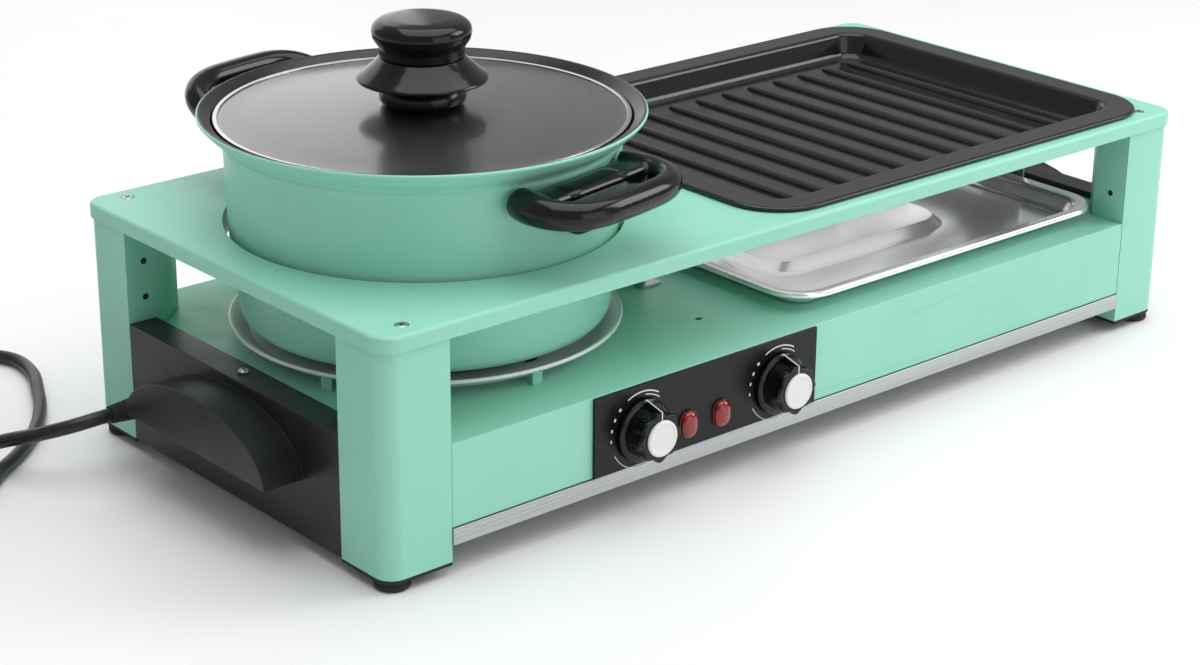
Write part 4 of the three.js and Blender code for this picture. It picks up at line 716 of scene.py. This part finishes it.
def make_plug(end, heading):
    """A moulded plug with finger ridges and two pins, its face pointing along the cord."""
    half_height = end.z - GAP
    sections = [
        (12.5, 12.5, GAP), (13.0, 13.0, 6), (12.4, 12.4, 7), (13.6, 13.6, 12), (13.0, 13.0, 13),
        (15.5, 15.5, 20), (24.0, 20.0, 25), (33.0, half_height * 2 - 2, 31),
        (34.0, half_height * 2 - 0.6, 36), (32.0, half_height * 2 - 3, 38),
        (35.0, half_height * 2 - 0.6, 41), (33.0, half_height * 2 - 3, 43),
        (36.0, half_height * 2, 46), (36.0, half_height * 2, 54),
        (34.5, half_height * 2 - 1.5, 56.3),
    ]
    body = stacked([(w, d, min(w, d) * SOFT_CORNER, z) for w, d, z in sections])
    pin = softened([(0, 50), (2.4, 50), (2.4, 75.3), (0, 75.3)], 1.0)
    pin = turned(pin, TINY_ROUND, 1)
    pins = [placed(pin, upright(side * PIN_SPACING / 2, 0)) for side in (-1, 1)]
    side = Vector((0, 0, 1)).cross(heading)

    def lay(p):
        return tuple(end + side * p[0] + Vector((0, 0, p[1])) + heading * p[2])

    skin = placed(joined(body, *pins), lay)
    return piece("plug_moulding", skin, ["rubber", "brass"], "base", ["plug"])


def make_relief():
    """A tapered sleeve with grooves round it, which on the real sleeve let it bend with the cord."""
    collar, base, taper, depth = 3.3, 8.0, 0.09, 0.9
    profile = [(0, -12), (6, -12), (6, GAP), (9, GAP), (9, collar), (base, collar + 0.1)]
    for k in range(5):
        low = 8.2 + k * 3.9
        radius = base - (low - collar) * taper
        profile += [
            (radius, low), (radius - depth, low + 0.4),
            (radius - depth, low + 1.4), (radius, low + 1.8),
        ]
    profile += [(5.6, RELIEF_LENGTH), (0, RELIEF_LENGTH)]
    skin = placed(turned(softened(profile, 0.3, 2), SCREW_ROUND), facing_left(CORD_EXIT_Y, CORD_EXIT_Z))
    piece("relief_sleeve", skin, ["rubber"], "base", ["cord_relief"])


# The frame: CAD solids with their paint

def dress_frame():
    dress("chassis_shell", "mint", 0.72)
    dress("front_trim", "trim", 0.3)
    dress("control_plate", "charcoal", 0.25)
    for place in ("front_left", "front_right", "rear_left", "rear_right"):
        dress(f"leg_{place}", "mint", 0.6)
        dress(f"leg_cap_{place}", "rubber", 0.4)
    for side in ("left", "right"):
        dress(f"end_panel_{side}", "grained", 0.7)
    for node in ("base_plate", "heater_bracket", "heater_rest", "pot_bracket_front", "pot_bracket_rear"):
        dress(node, "sheet_steel", 0.2)
    for dial in ("pot", "grill"):
        dress(f"dial_shaft_{dial}", "steel")
        dress(f"thermostat_{dial}", "switch", 0.6)
    dress("terminal_block", "switch", 0.5)


def flat_sheet(name, outlines, low, high):
    """A flat sheet from closed outlines in plan, the first one outside and the rest holes."""
    data = bpy.data.curves.new(name, "CURVE")
    data.dimensions = "2D"
    data.fill_mode = "BOTH"
    data.extrude = (high - low) / 2 * MM
    for outline in outlines:
        spline = data.splines.new("POLY")
        spline.points.add(len(outline) - 1)
        for point, place in zip(spline.points, outline):
            x, y, _ = metres((place[0], place[1], 0))
            point.co = (x, y, 0, 1)
        spline.use_cyclic_u = True
    curve = new_object(name, data)
    curve.location.z = (high + low) / 2 * MM
    bpy.context.view_layer.update()
    mesh = bpy.data.meshes.new_from_object(curve.evaluated_get(bpy.context.evaluated_depsgraph_get()))
    mesh.transform(curve.matrix_world)
    bpy.data.objects.remove(curve)
    mesh.materials.clear()
    obj = new_object(name, mesh)
    shade(obj, 0.35)
    return obj


def circle(x, y, radius, steps):
    angles = (k * TURN / steps for k in range(steps))
    return [(x + radius * math.cos(a), y + radius * math.sin(a), 0) for a in angles]


def make_top_plate():
    """The flat sheet with its holes, and the fold round its edge."""
    middle = upright(BODY_LENGTH / 2, MID_Y)
    plan = (BODY_LENGTH + PLATE_OVERHANG * 2, BODY_DEPTH + PLATE_OVERHANG * 2, PLATE_CORNER)
    steps = 16
    outer = [middle(p) for p in tray_ring(*plan, PLATE_BEND, 0, steps)]
    opening = [upright(PAN_X, MID_Y)(p) for p in tray_ring(*PAN_PLAN, PAN_OPENING_INSET, 0, steps)]
    screws = corner_places(*PLATE_SCREW_INSET)
    holes = [circle(x, y, PLATE_SCREW_HOLE, SMALL_ROUND) for _, x, y in screws]
    pot_hole = circle(POT_X, MID_Y, POT_HOLE_RADIUS, RING_ROUND)
    sheet = flat_sheet("top_sheet", [outer, pot_hole, opening, *holes], PLATE_UNDER, PLATE_TOP)
    finish_piece(sheet, ["mint"], "base", ["top_plate"])
    arc = [
        (PLATE_BEND - PLATE_BEND * math.sin(a), PLATE_TOP - PLATE_BEND + PLATE_BEND * math.cos(a))
        for a in (k * TURN / 24 for k in range(7))
    ]
    low = [(0, 149.4), (0.3, 149), (1.2, 149), (1.5, 149.4), (1.5, 156.4), (PLATE_BEND, PLATE_UNDER)]
    rings = [tray_ring(*plan, inset, z, steps) for inset, z in [*arc, *low]]
    piece("top_fold", placed(lofted(rings, closed=True), middle), ["mint"], "base")
    rolled = softened([
        (POT_HOLE_RADIUS, 158.7), (127.4, 158.7), (127.4, 141.5), (POT_HOLE_RADIUS, 141.5),
    ], 0.5, 3, closed=True)
    edge = placed(turned(rolled, RING_ROUND, closed=True), upright(POT_X, MID_Y))
    piece("pot_hole_edge", edge, ["mint"], "base")


def make_leg_holes():
    """Discs of painted shade where the screw holes are, in the two flat inner faces of each leg."""
    disc = turned([(0, 0), (2.1, 0), (2.1, 0.25), (0, 0.25)], TINY_ROUND)
    for place, x, y in corner_places(0.0, 0.0):
        sx = 1 if x < BODY_LENGTH / 2 else -1
        sy = 1 if y < MID_Y else -1

        def across(p, z=LEG_HOLE_Z, x=x, y=y, sx=sx, sy=sy):
            return (x + sx * LEG_HOLE_INSET + p[0], y + sy * (LEG_INNER_Y + p[2]), z + p[1])

        def above(p, across=across):
            return across(p, LEG_HOLE_Z + LEG_HOLE_PITCH)

        def along(p, x=x, y=y, sx=sx, sy=sy):
            return (x + sx * (LEG_INNER_X + p[2]), y + sy * LEG_HOLE_INSET + p[0], LEG_HOLE_Z + p[1])

        skin = joined(*(placed(disc, at) for at in (across, above, along)))
        piece(f"leg_hole_shade_{place}", skin, ["dark"], "base")


def drive_shade(radius, depth, z, width=0.9):
    """A cross of painted shade for the recess of a screw's drive, laid just over the head's top."""
    low, high = z - depth, z + 0.05
    return joined(
        block(-radius, radius, -width / 2, width / 2, low, high, 1),
        block(-width / 2, width / 2, -radius, radius, low, high, 1),
    )


def screw_head(name, profile, softness, steps, cross, place, node):
    """A screw with its cross of painted shade, standing in a sheet at a place in plan, turned by an
    angle.
    """
    skin = joined(turned(softened(profile, softness, steps), SCREW_ROUND), cross)
    piece(name, placed(skin, upright(*place)), ["steel", "dark"], "base", [node])


def make_screws():
    plate = [(0, 145), (1.8, 145), (1.8, 157.4), (4.0, 158.5), (4.0, 158.9), (2.6, 159.3), (0, 159.4)]
    for corner, x, y in corner_places(*PLATE_SCREW_INSET):
        screw_head(
            f"plate_screw_head_{corner}", plate, 0.3, 2, drive_shade(1.9, 0.5, 159.35),
            (x, y, 33), f"plate_screw_{corner}",
        )
    ledge = [(0, 77), (1.5, 77), (1.5, 87.8), (3.6, 87.8), (3.4, 88.8), (1.6, 90), (0, 90)]
    for side, x in (("left", LEDGE_SCREW_INSET), ("right", BODY_LENGTH - LEDGE_SCREW_INSET)):
        screw_head(
            f"ledge_screw_head_{side}", ledge, 0.4, 3, drive_shade(1.6, 0.8, 90.0),
            (x, MID_Y, 20), f"ledge_screw_{side}",
        )


def corner_places(inset_x, inset_y):
    return (
        ("front_left", inset_x, inset_y),
        ("front_right", BODY_LENGTH - inset_x, inset_y),
        ("rear_left", inset_x, BODY_DEPTH - inset_y),
        ("rear_right", BODY_LENGTH - inset_x, BODY_DEPTH - inset_y),
    )


def make_feet():
    profile = [(0, 0.6), (6, 0.6), (6.5, 0), (10, 0), (11, 1), (11, 3.4), (10.2, 3.9), (10.6, 6), (0, 6)]
    for place, x, y in corner_places(FOOT_INSET, FOOT_INSET):
        skin = placed(turned(softened(profile, 0.5, 3), FOOT_ROUND), upright(x, y))
        piece(f"foot_pad_{place}", skin, ["rubber"], "base", [f"foot_{place}"])


# Controls

def arc_band(radius, width, low_degrees, high_degrees, depth, steps=24):
    """A thin printed arc, drawn upright and facing +Z, measured clockwise from the top."""
    rings = []
    for i in range(steps + 1):
        angle = math.radians(90 - low_degrees - (high_degrees - low_degrees) * i / steps)
        c, s = math.cos(angle), math.sin(angle)
        inner, outer = radius - width / 2, radius + width / 2
        top = depth + DIAL_PRINT_THICKNESS
        rings.append([
            (inner * c, inner * s, depth), (outer * c, outer * s, depth),
            (outer * c, outer * s, top), (inner * c, inner * s, top),
        ])
    return lofted(rings)


def dial_print():
    """Heat marks round a dial: a double arc, growing dots and a thin ring below."""
    marks = [(25.0, 0.9, -28, 32), (22.6, 0.7, 6, 38), (25.0, 0.45, -200, -118)]
    skins = [arc_band(*mark, DIAL_PRINT_DEPTH) for mark in marks]
    dot = 2.4
    for k, degrees in enumerate((-46, -62, -78, -94)):
        skins.append(arc_band(25.0, 1.7 - k * 0.25, degrees - dot, degrees + dot, DIAL_PRINT_DEPTH, 4))
    return joined(*skins)


def dial_knob():
    """Skirt, tapering body with eight lobes at its front, and a pointer fin along its top."""
    skirt = softened([(3.4, 3.3), (20.5, 3.3), (20.5, 5.6), (18.2, 7.0), (3.4, 7.0)], 0.7)
    rings = []
    sections = [
        (16.4, 6.8, 0.0), (15.8, 12.0, 0.01), (15.6, 15.4, 0.05),
        (15.8, 17.6, 0.07), (15.4, 19.6, 0.07), (14.4, 20.3, 0.06),
    ]
    for radius, depth, lobe in sections:
        rings.append([])
        for i in range(KNOB_ROUND):
            angle = i * TURN / KNOB_ROUND
            r = radius * (1 + lobe * math.cos(angle * DIAL_LOBES))
            rings[-1].append((r * math.cos(angle), r * math.sin(angle), depth))
    fin = lofted([
        [(-1.8, 12, 6.5), (1.8, 12, 6.5), (1.2, 20.4, 6.5), (-1.2, 20.4, 6.5)],
        [(-1.8, 12, 20.2), (1.8, 12, 20.2), (1.1, 16.9, 20.2), (-1.1, 16.9, 20.2)],
    ])
    line = lofted([
        [(-0.4, 19.5, 6.6), (0.4, 19.5, 6.6), (0.4, 20.65, 6.6), (-0.4, 20.65, 6.6)],
        [(-0.4, 16.2, 20.3), (0.4, 16.2, 20.3), (0.4, 17.15, 20.3), (-0.4, 17.15, 20.3)],
    ], paint=1)
    front = lofted([
        [(-0.4, 11.4, 20.2), (0.4, 11.4, 20.2), (0.4, 17.1, 20.2), (-0.4, 17.1, 20.2)],
        [(-0.4, 11.4, 20.5), (0.4, 11.4, 20.5), (0.4, 17.1, 20.5), (-0.4, 17.1, 20.5)],
    ], paint=1)
    dot = turned(softened([(0, 5.5), (1.3, 5.5), (1.3, 7.3), (0, 7.4)], 0.3), TINY_ROUND, 1)
    dot = placed(dot, upright(0, 19.4))
    return joined(turned(skirt, KNOB_ROUND), lofted(rings), fin, line, front, dot)


def make_controls():
    cap = softened([
        (0, 20.3), (11.7, 20.3), (11.7, 21.4), (11.0, 22.1), (9.6, 22.2), (9.2, 21.9), (0, 21.9),
    ], 0.3)
    for dial, x in DIAL_X.items():
        at = facing_front(x, DIAL_Z)
        piece(f"dial_marks_{dial}", placed(dial_print(), at), ["print"], "base")
        piece(
            f"dial_knob_{dial}", placed(dial_knob(), at), ["gloss", "print"],
            f"{dial}_dial", [f"dial_{dial}"],
        )
        piece(
            f"dial_disc_{dial}", placed(turned(cap, CAP_ROUND), at), ["white_cap"],
            f"{dial}_dial", [f"dial_cap_{dial}"],
        )
    for lamp, x in LAMP_X.items():
        lens = [(0, -12), (0, 3.4), (0.5, 5.0), (1.6, 6.3), (3.2, 7.0), (5.2, 7.3)]
        rings = [corner_ring(13 - i * 2, 18 - i * 2, 6.4 - i, z, 6) for i, z in lens]
        bezel = stacked([
            (14.6, 19.6, 7.2, 2.3), (14.6, 19.6, 7.2, 2.9),
            (13.2, 18.2, 6.6, 3.1), (13.2, 18.2, 6.6, 2.3),
        ], closed=True, paint=1)
        skin = placed(joined(lofted(rings), bezel), facing_front(x, LAMP_Z))
        piece(f"lamp_lens_{lamp}", skin, ["lamp", "gloss"], "base", [f"pilot_lamp_{lamp}"])


# Hob

def make_hob():
    profile = softened([
        (94, 88.5), (112, 88.5), (122.4, 95.4), (124.2, 96.0), (125, 95.2), (125, 93.6),
        (123.9, 93.4), (113.4, 87.0), (102.5, 87.0), (102.5, 83.3), (101, 83.3), (101, 87.0), (94, 87.0),
    ], 0.7, 4, closed=True)
    at = upright(POT_X, MID_Y)
    ring = placed(turned(profile, RING_ROUND, closed=True), at)
    piece("hob_trim_ring", ring, ["ring"], "base", ["hob_ring"])
    tab = block(119.2, 120.8, -3.6, 3.6, 83.05, 91.2)
    for place, degrees in (("front", -93.6), ("left", -157.3)):
        turn = upright(POT_X, MID_Y, degrees)
        piece(f"ring_tab_{place}", placed(tab, turn), ["mint"], "base", bevel=0.3)
    # A dark oval of painted shade on the ring's flat, in place of a notch
    disc = turned([(0, 88.4), (1, 88.4), (1, 88.62), (0, 88.62)], SMALL_ROUND)
    notch_shade = placed(disc, lambda p: (p[0] * 2.6 + 97.5, p[1] * 5.2, p[2]))
    piece("ring_notch", placed(notch_shade, upright(POT_X, MID_Y, -86.5)), ["dark"], "base")
    plate = [
        (0, 93.2), (16, 93.2), (18, 93.2), (20, 94), (38, 94), (38.6, 93.5), (39.4, 93.5), (40, 94),
        (60, 94), (60.6, 93.5), (61.4, 93.5), (62, 94), (80, 94), (80.6, 93.5), (81.4, 93.5), (82, 94),
        (88.6, 94), (90, 92.4), (90, 87), (78, 87), (78, 83.3), (0, 83.3),
    ]
    disc = turned(softened(plate, 0.5, 3), PLATE_ROUND)
    piece("hob_hot_plate", placed(disc, at), ["iron"], "base", ["hot_plate"])


# Pot and lid

def make_pot():
    outside = softened([
        (0, 94.3), (100, 94.3), (105, 94.8), (113.2, 96.6), (116.7, 101), (117.8, 106),
        (121.9, 148), (122.8, 164), (123.9, 208.5), (125.1, 211.5), (124.2, 214),
        (126.5, 216.5), (131.8, 219.4), (136.0, 223.4), (138.6, 226.2),
    ], 3.0, 6)
    rim_edge = softened([(138.6, 226.2), (139.5, 227.2), (139.4, 228.4), (138.5, 228.85)], 0.6, 4)
    rim = softened([(138.5, 228.85), (138.0, 229.0), (136.6, 228.6), (131.4, 225.5)], 0.8, 4)
    inside = softened([
        (131.4, 225.5), (130.2, 224.0), (130.2, 220.5), (124.0, 220.5), (121.6, 219.0),
        (115.0, 105), (112.9, 99.5), (107, 96.9), (0, 96.9),
    ], 2.0, 5)
    parts = ((outside, 0), (rim_edge, 0), (rim, 1), (inside, 2))
    skin = joined(*(turned(profile, WIDE_ROUND, paint) for profile, paint in parts))
    piece(
        "pot_shell", placed(skin, upright(POT_X, MID_Y)), ["pot_mint", "pot_black", "pot_black"],
        "pot", ["pot_body"],
    )


def handle_bar():
    """The grip: a tube that leaves the pot's side thick, runs round the fingers and returns."""
    half = [
        (119, 46, 10.2), (130, 50, 10.0), (143, 51, 9.4), (154, 47.5, 9.0),
        (162, 39, 8.8), (166, 27, 8.8), (167, 11, 8.8),
    ]
    whole = [(out, -side, radius) for out, side, radius in half] + half[::-1]
    radii = [radius for _, _, radius in whole]
    sides, per_span = 22, 5
    path = route_curve([(out, side, HANDLE_MID) for out, side, _ in whole], per_span)
    points, faces, paints = tube(path, 1.0, sides)
    moved = []
    for k, centre in enumerate(path):
        low = min(k // per_span, len(radii) - 2)
        share = k / per_span - low
        radius = radii[low] * (1 - share) + radii[low + 1] * share
        for point in points[k * sides:(k + 1) * sides]:
            moved.append(tuple(c + (p - c) * radius for p, c in zip(point, centre)))
    return moved, faces, paints


def handle_web():
    """The flat part by the pot, with a raised pad whose outer edge hangs over the finger slot."""
    plate = stacked([
        (18, 90, 4, HANDLE_MID - 7.2), (22, 98, 5, HANDLE_MID - 5.0),
        (22, 98, 5, HANDLE_MID + 4.2), (17, 90, 4, HANDLE_MID + 6.6),
    ])
    pad = stacked([
        (16, 40, 7, HANDLE_MID - 3), (22, 58, 10, HANDLE_MID + 1),
        (22, 58, 10, HANDLE_MID + 5), (15, 46, 7, HANDLE_MID + 7.4),
    ])
    return joined(placed(plate, upright(132, 0)), placed(pad, upright(134, -2)))


def handle_lug():
    """The drooping part that the screw goes through, smaller at its foot."""
    sections = [
        (7, 16, 176.2), (10, 25, 178.2), (12.4, 31, 182),
        (12.8, 38, 190), (13, 46, 198), (13, 50, 203),
    ]
    lug = stacked([(w, d, min(w, d) * SOFT_CORNER, z) for w, d, z in sections])
    return placed(lug, upright(129.6, 0))


def cranked(skin, degrees):
    """Turns a skin up about the pot's wall."""
    c, s = math.cos(math.radians(degrees)), math.sin(math.radians(degrees))

    def lift(p):
        out, up = p[0] - HANDLE_ROOT, p[2] - HANDLE_MID
        return (HANDLE_ROOT + out * c - up * s, p[1], HANDLE_MID + out * s + up * c)

    return placed(skin, lift)


def make_handles():
    head = softened([(0, 0), (2, 0), (2, 9.3), (3.6, 9.3), (3.4, 10.6), (1.6, 11.6), (0, 11.6)], 0.3, 2)
    head = turned(head, SMALL_ROUND)
    screw = placed(head, lambda p: (HANDLE_SCREW_OUT + p[2], p[0], HANDLE_SCREW_Z + p[1]))
    for place, degrees, crank in (("front", -90, 0), ("rear", 90, REAR_CRANK)):
        at = upright(POT_X, MID_Y, degrees + HANDLE_DEGREES)
        loop = cranked(joined(handle_bar(), handle_web()), crank)
        moulding = piece(
            f"pot_handle_moulding_{place}", placed(joined(loop, handle_lug()), at), ["gloss"],
            "pot", [f"pot_handle_{place}"], weighted=False,
        )
        melt(moulding, HANDLE_VOXEL)
        piece(
            f"pot_handle_fixing_{place}", placed(screw, at), ["steel"],
            "pot", [f"pot_handle_screw_{place}"],
        )


def melt(obj, voxel):
    """Overlapping closed pieces become one moulded skin with soft joins."""
    obj.modifiers.clear()
    remesh = obj.modifiers.new("one_skin", "REMESH")
    remesh.mode = "VOXEL"
    remesh.voxel_size = voxel * MM
    remesh.use_smooth_shade = True
    smooth = obj.modifiers.new("soft_joins", "SMOOTH")
    smooth.factor = 0.5
    smooth.iterations = 14
    bpy.context.view_layer.update()
    made = bpy.data.meshes.new_from_object(obj.evaluated_get(bpy.context.evaluated_depsgraph_get()))
    made.name = obj.name
    obj.modifiers.clear()
    obj.data = made


def make_lid():
    at = upright(POT_X, MID_Y)
    band = softened([
        (124.3, 220.8), (129.3, 220.8), (129.3, 225.6), (128.2, 225.6), (126.5, 225.3), (126.5, 224.9),
        (127.6, 224.9), (128.7, 224.9), (128.7, 221.4), (124.3, 221.4),
    ], 0.5, 3, closed=True)
    ring = placed(turned(band, WIDE_ROUND, closed=True), at)
    piece("lid_rim_band", ring, ["band"], "lid", ["lid_band"])

    upper, lower = [], []
    for i in range(GLASS_STEPS + 1):
        share = i / GLASS_STEPS
        radius = GLASS_DOME_RADIUS * (1 - share) + GLASS_BORE_RADIUS * share
        rise = GLASS_RISE * (1 - (radius / GLASS_DOME_RADIUS) ** 2)
        upper.append((radius, GLASS_EDGE_TOP + rise))
        lower.insert(0, (radius, GLASS_EDGE_TOP - GLASS_THICKNESS + rise))
    rim = [(GLASS_RADIUS, GLASS_EDGE_TOP - GLASS_THICKNESS), (GLASS_RADIUS, GLASS_EDGE_TOP)]
    pane = turned([*rim, *upper, *lower], WIDE_ROUND, closed=True)
    piece("lid_pane", placed(pane, at), ["glass"], "lid", ["lid_glass"])

    base = softened([
        (GLASS_BORE_RADIUS, 231.2), (24.5, 231.2), (27, 234), (27.2, 238), (25.2, 242.5), (24, 244.6),
        (27, 246), (36, 246.2), (40.4, 246.6), (41, 247.6), (40.2, 248.8), (36.5, 251.6), (30.5, 257),
        (27.4, 260.2), (26.5, 261.2), (GLASS_BORE_RADIUS, 261.2),
    ], 1.6, 5, closed=True)
    collar = placed(turned(base, KNOB_ROUND, closed=True), at)
    piece("lid_knob_collar", collar, ["gloss"], "lid", ["lid_knob_base"])
    top = softened([
        (0, 262), (25.6, 262), (26.3, 261.7), (26.6, 267.5), (28.4, 270), (30.6, 273.4), (31.3, 277.5),
        (30.2, 281.2), (26.5, 284.0), (19, 285.5), (9, 285.9), (0, 286.0),
    ], 2.2, 6)
    knob = placed(turned(top, KNOB_ROUND), at)
    piece("lid_knob_top", knob, ["gloss"], "lid", ["lid_knob"])
    screw = softened([(0, 225.1), (7, 225.1), (7, 227.6), (2.5, 227.6), (2.5, 271), (0, 271)], 0.6, 3)
    screw = placed(turned(screw, SCREW_ROUND), at)
    piece("lid_screw", screw, ["steel"], "lid", ["lid_knob_screw"])


# Grill pan, tray and heater

def rib(x):
    """A long ridge with a rounded top that sinks into the floor at both ends."""
    front, rear = RIB_ENDS
    ends = [(0, 0.0, 0.5), (3, 0.62, 0.86), (7, 0.94, 1.0)]
    stations = [(front + d, h, w) for d, h, w in ends]
    stations += [(rear - d, h, w) for d, h, w in reversed(ends)]
    rings = []
    for y, height, width in stations:
        half = RIB_HALF_WIDTH * width
        rise = RIB_LOW_RISE + RIB_RISE * height
        ring = []
        for i in range(RIB_ARC_STEPS + 1):
            angle = i * math.pi / RIB_ARC_STEPS
            z = RIB_SIDE_Z + rise * math.sin(angle) ** RIB_ROUNDNESS
            ring.append((x - half * math.cos(angle), y, z))
        rings.append([*ring, (x + half, y, RIB_ROOT_Z), (x - half, y, RIB_ROOT_Z)])
    return lofted(rings)


def make_pan():
    profile = softened([
        (29, 140.8), (26, 140.8), (23, 143.6), (18.4, 158.4), (16.5, 159.3), (1.6, 159.3), (0, 160.2),
        (0, 161.6), (1.6, 162.5), (10, 162.3), (20, 162.2), (22.2, 160.6), (26.4, 147.0), (30, 144.0),
        (34, 144.0),
    ], 1.8, 5)
    rings = [tray_ring(*PAN_PLAN, inset, z, 14) for inset, z in profile]
    skins = [placed(lofted(rings), upright(PAN_X, MID_Y))]
    for k in range(RIB_COUNT):
        x = PAN_X + (k - (RIB_COUNT - 1) / 2) * RIB_PITCH
        skins.append(painted(rib(x), 1))
    piece(
        "grill_pan_casting", joined(*skins), ["pan_black", "rib_black"],
        "pan", ["grill_pan"],
    )


def make_tray():
    """The tray's rim, its floor and the step in its floor, as one sheet."""
    steps = 12
    rim = softened([
        (19.5, 83.3), (18, 83.3), (14.5, 85.2), (10, 93.2), (8.5, 94.0), (1.6, 93.6), (0.2, 92.6),
        (0, 93.6), (0.2, 95.4), (1.6, 96.5), (4, 96.1), (8.6, 95.4), (11.2, 93.8), (15.5, 86.2),
        (18.6, 84.6), (22, 84.6),
    ], 1.4, 4)
    rings = [tray_ring(*TRAY_PLAN, inset, z, steps) for inset, z in rim]

    def step(inset, z):
        return [upright(*TRAY_STEP_SHIFT)(p) for p in tray_ring(*TRAY_STEP_PLAN, inset, z, steps)]

    low = [step(8, 89.3), step(7, 89.3), step(6.3, 88.9), step(0.6, 83.7), step(-0.4, 83.3)]
    high = [step(-0.4, 84.6), step(0.6, 85.0), step(6.3, 90.2), step(7, 90.6), step(8, 90.6)]
    skin = placed(lofted([*low, *rings, *high]), upright(TRAY_X, MID_Y))
    piece("drip_tray_pressing", skin, ["tray"], "tray", ["drip_tray"])


def make_heater():
    """One tube: in along its inner line, round the outer one to a loop, and the same mirrored."""
    half = [
        (HEATER_END_X, -HEATER_INNER), (HEATER_NEAR_X, -HEATER_INNER), (HEATER_NEAR_X, -HEATER_OUTER),
        (HEATER_FAR_X, -HEATER_OUTER), (HEATER_FAR_X, -HEATER_INNER), (HEATER_LOOP_X, -HEATER_INNER),
    ]
    whole = half + [(x, -y) for x, y in reversed(half)]
    corners = [Vector((x, MID_Y + y, HEATER_Z)) for x, y in whole]
    path = [corners[0]]
    for before, here, after in zip(corners, corners[1:], corners[2:]):
        start = here + (before - here).normalized() * HEATER_BEND
        end = here + (after - here).normalized() * HEATER_BEND
        path += [start.lerp(here, t / 6).lerp(here.lerp(end, t / 6), t / 6) for t in range(7)]
    path.append(corners[-1])
    element = tube(path, HEATER_RADIUS, 20)
    piece(
        "heater_element", element, ["heater"], "base", ["grill_heater"], weighted=False,
    )


# Surroundings

def make_floor():
    material, tree, shader = new_material("studio_floor", (0.93, 0.93, 0.93), 0.5)
    tint(tree, shader, noise(tree, 3), (0.92, 0.92, 0.92), (0.94, 0.94, 0.94))
    mesh = bpy.data.meshes.new("floor")
    signs = ((-1, -1), (1, -1), (1, 1), (-1, 1))
    mesh.from_pydata([(x * FLOOR_HALF, y * FLOOR_HALF, FLOOR_Z) for x, y in signs], [], [(0, 1, 2, 3)])
    mesh.materials.append(material)
    new_object("floor", mesh)


def area_light(name, place, target, size, power):
    data = bpy.data.lights.new(name, "AREA")
    data.shape = "SQUARE"
    data.size = size
    data.energy = power
    light = new_object(name, data)
    light.location = place
    light.rotation_euler = (Vector(target) - Vector(place)).to_track_quat("-Z", "Y").to_euler()


def make_light():
    world = bpy.data.worlds.new("studio")
    world.use_nodes = True
    fill(world.node_tree.nodes["Background"], {"Color": (1, 1, 1, 1), "Strength": WORLD_STRENGTH})
    bpy.context.scene.world = world
    for light in LIGHTS:
        area_light(*light)
    bpy.context.scene.view_settings.view_transform = "Standard"


make_camera()
make_materials()
make_cord()
dress_frame()
make_top_plate()
make_leg_holes()
make_screws()
make_feet()
make_controls()
make_hob()
make_pot()
make_handles()
make_lid()
make_pan()
make_tray()
make_heater()
make_floor()
make_light()
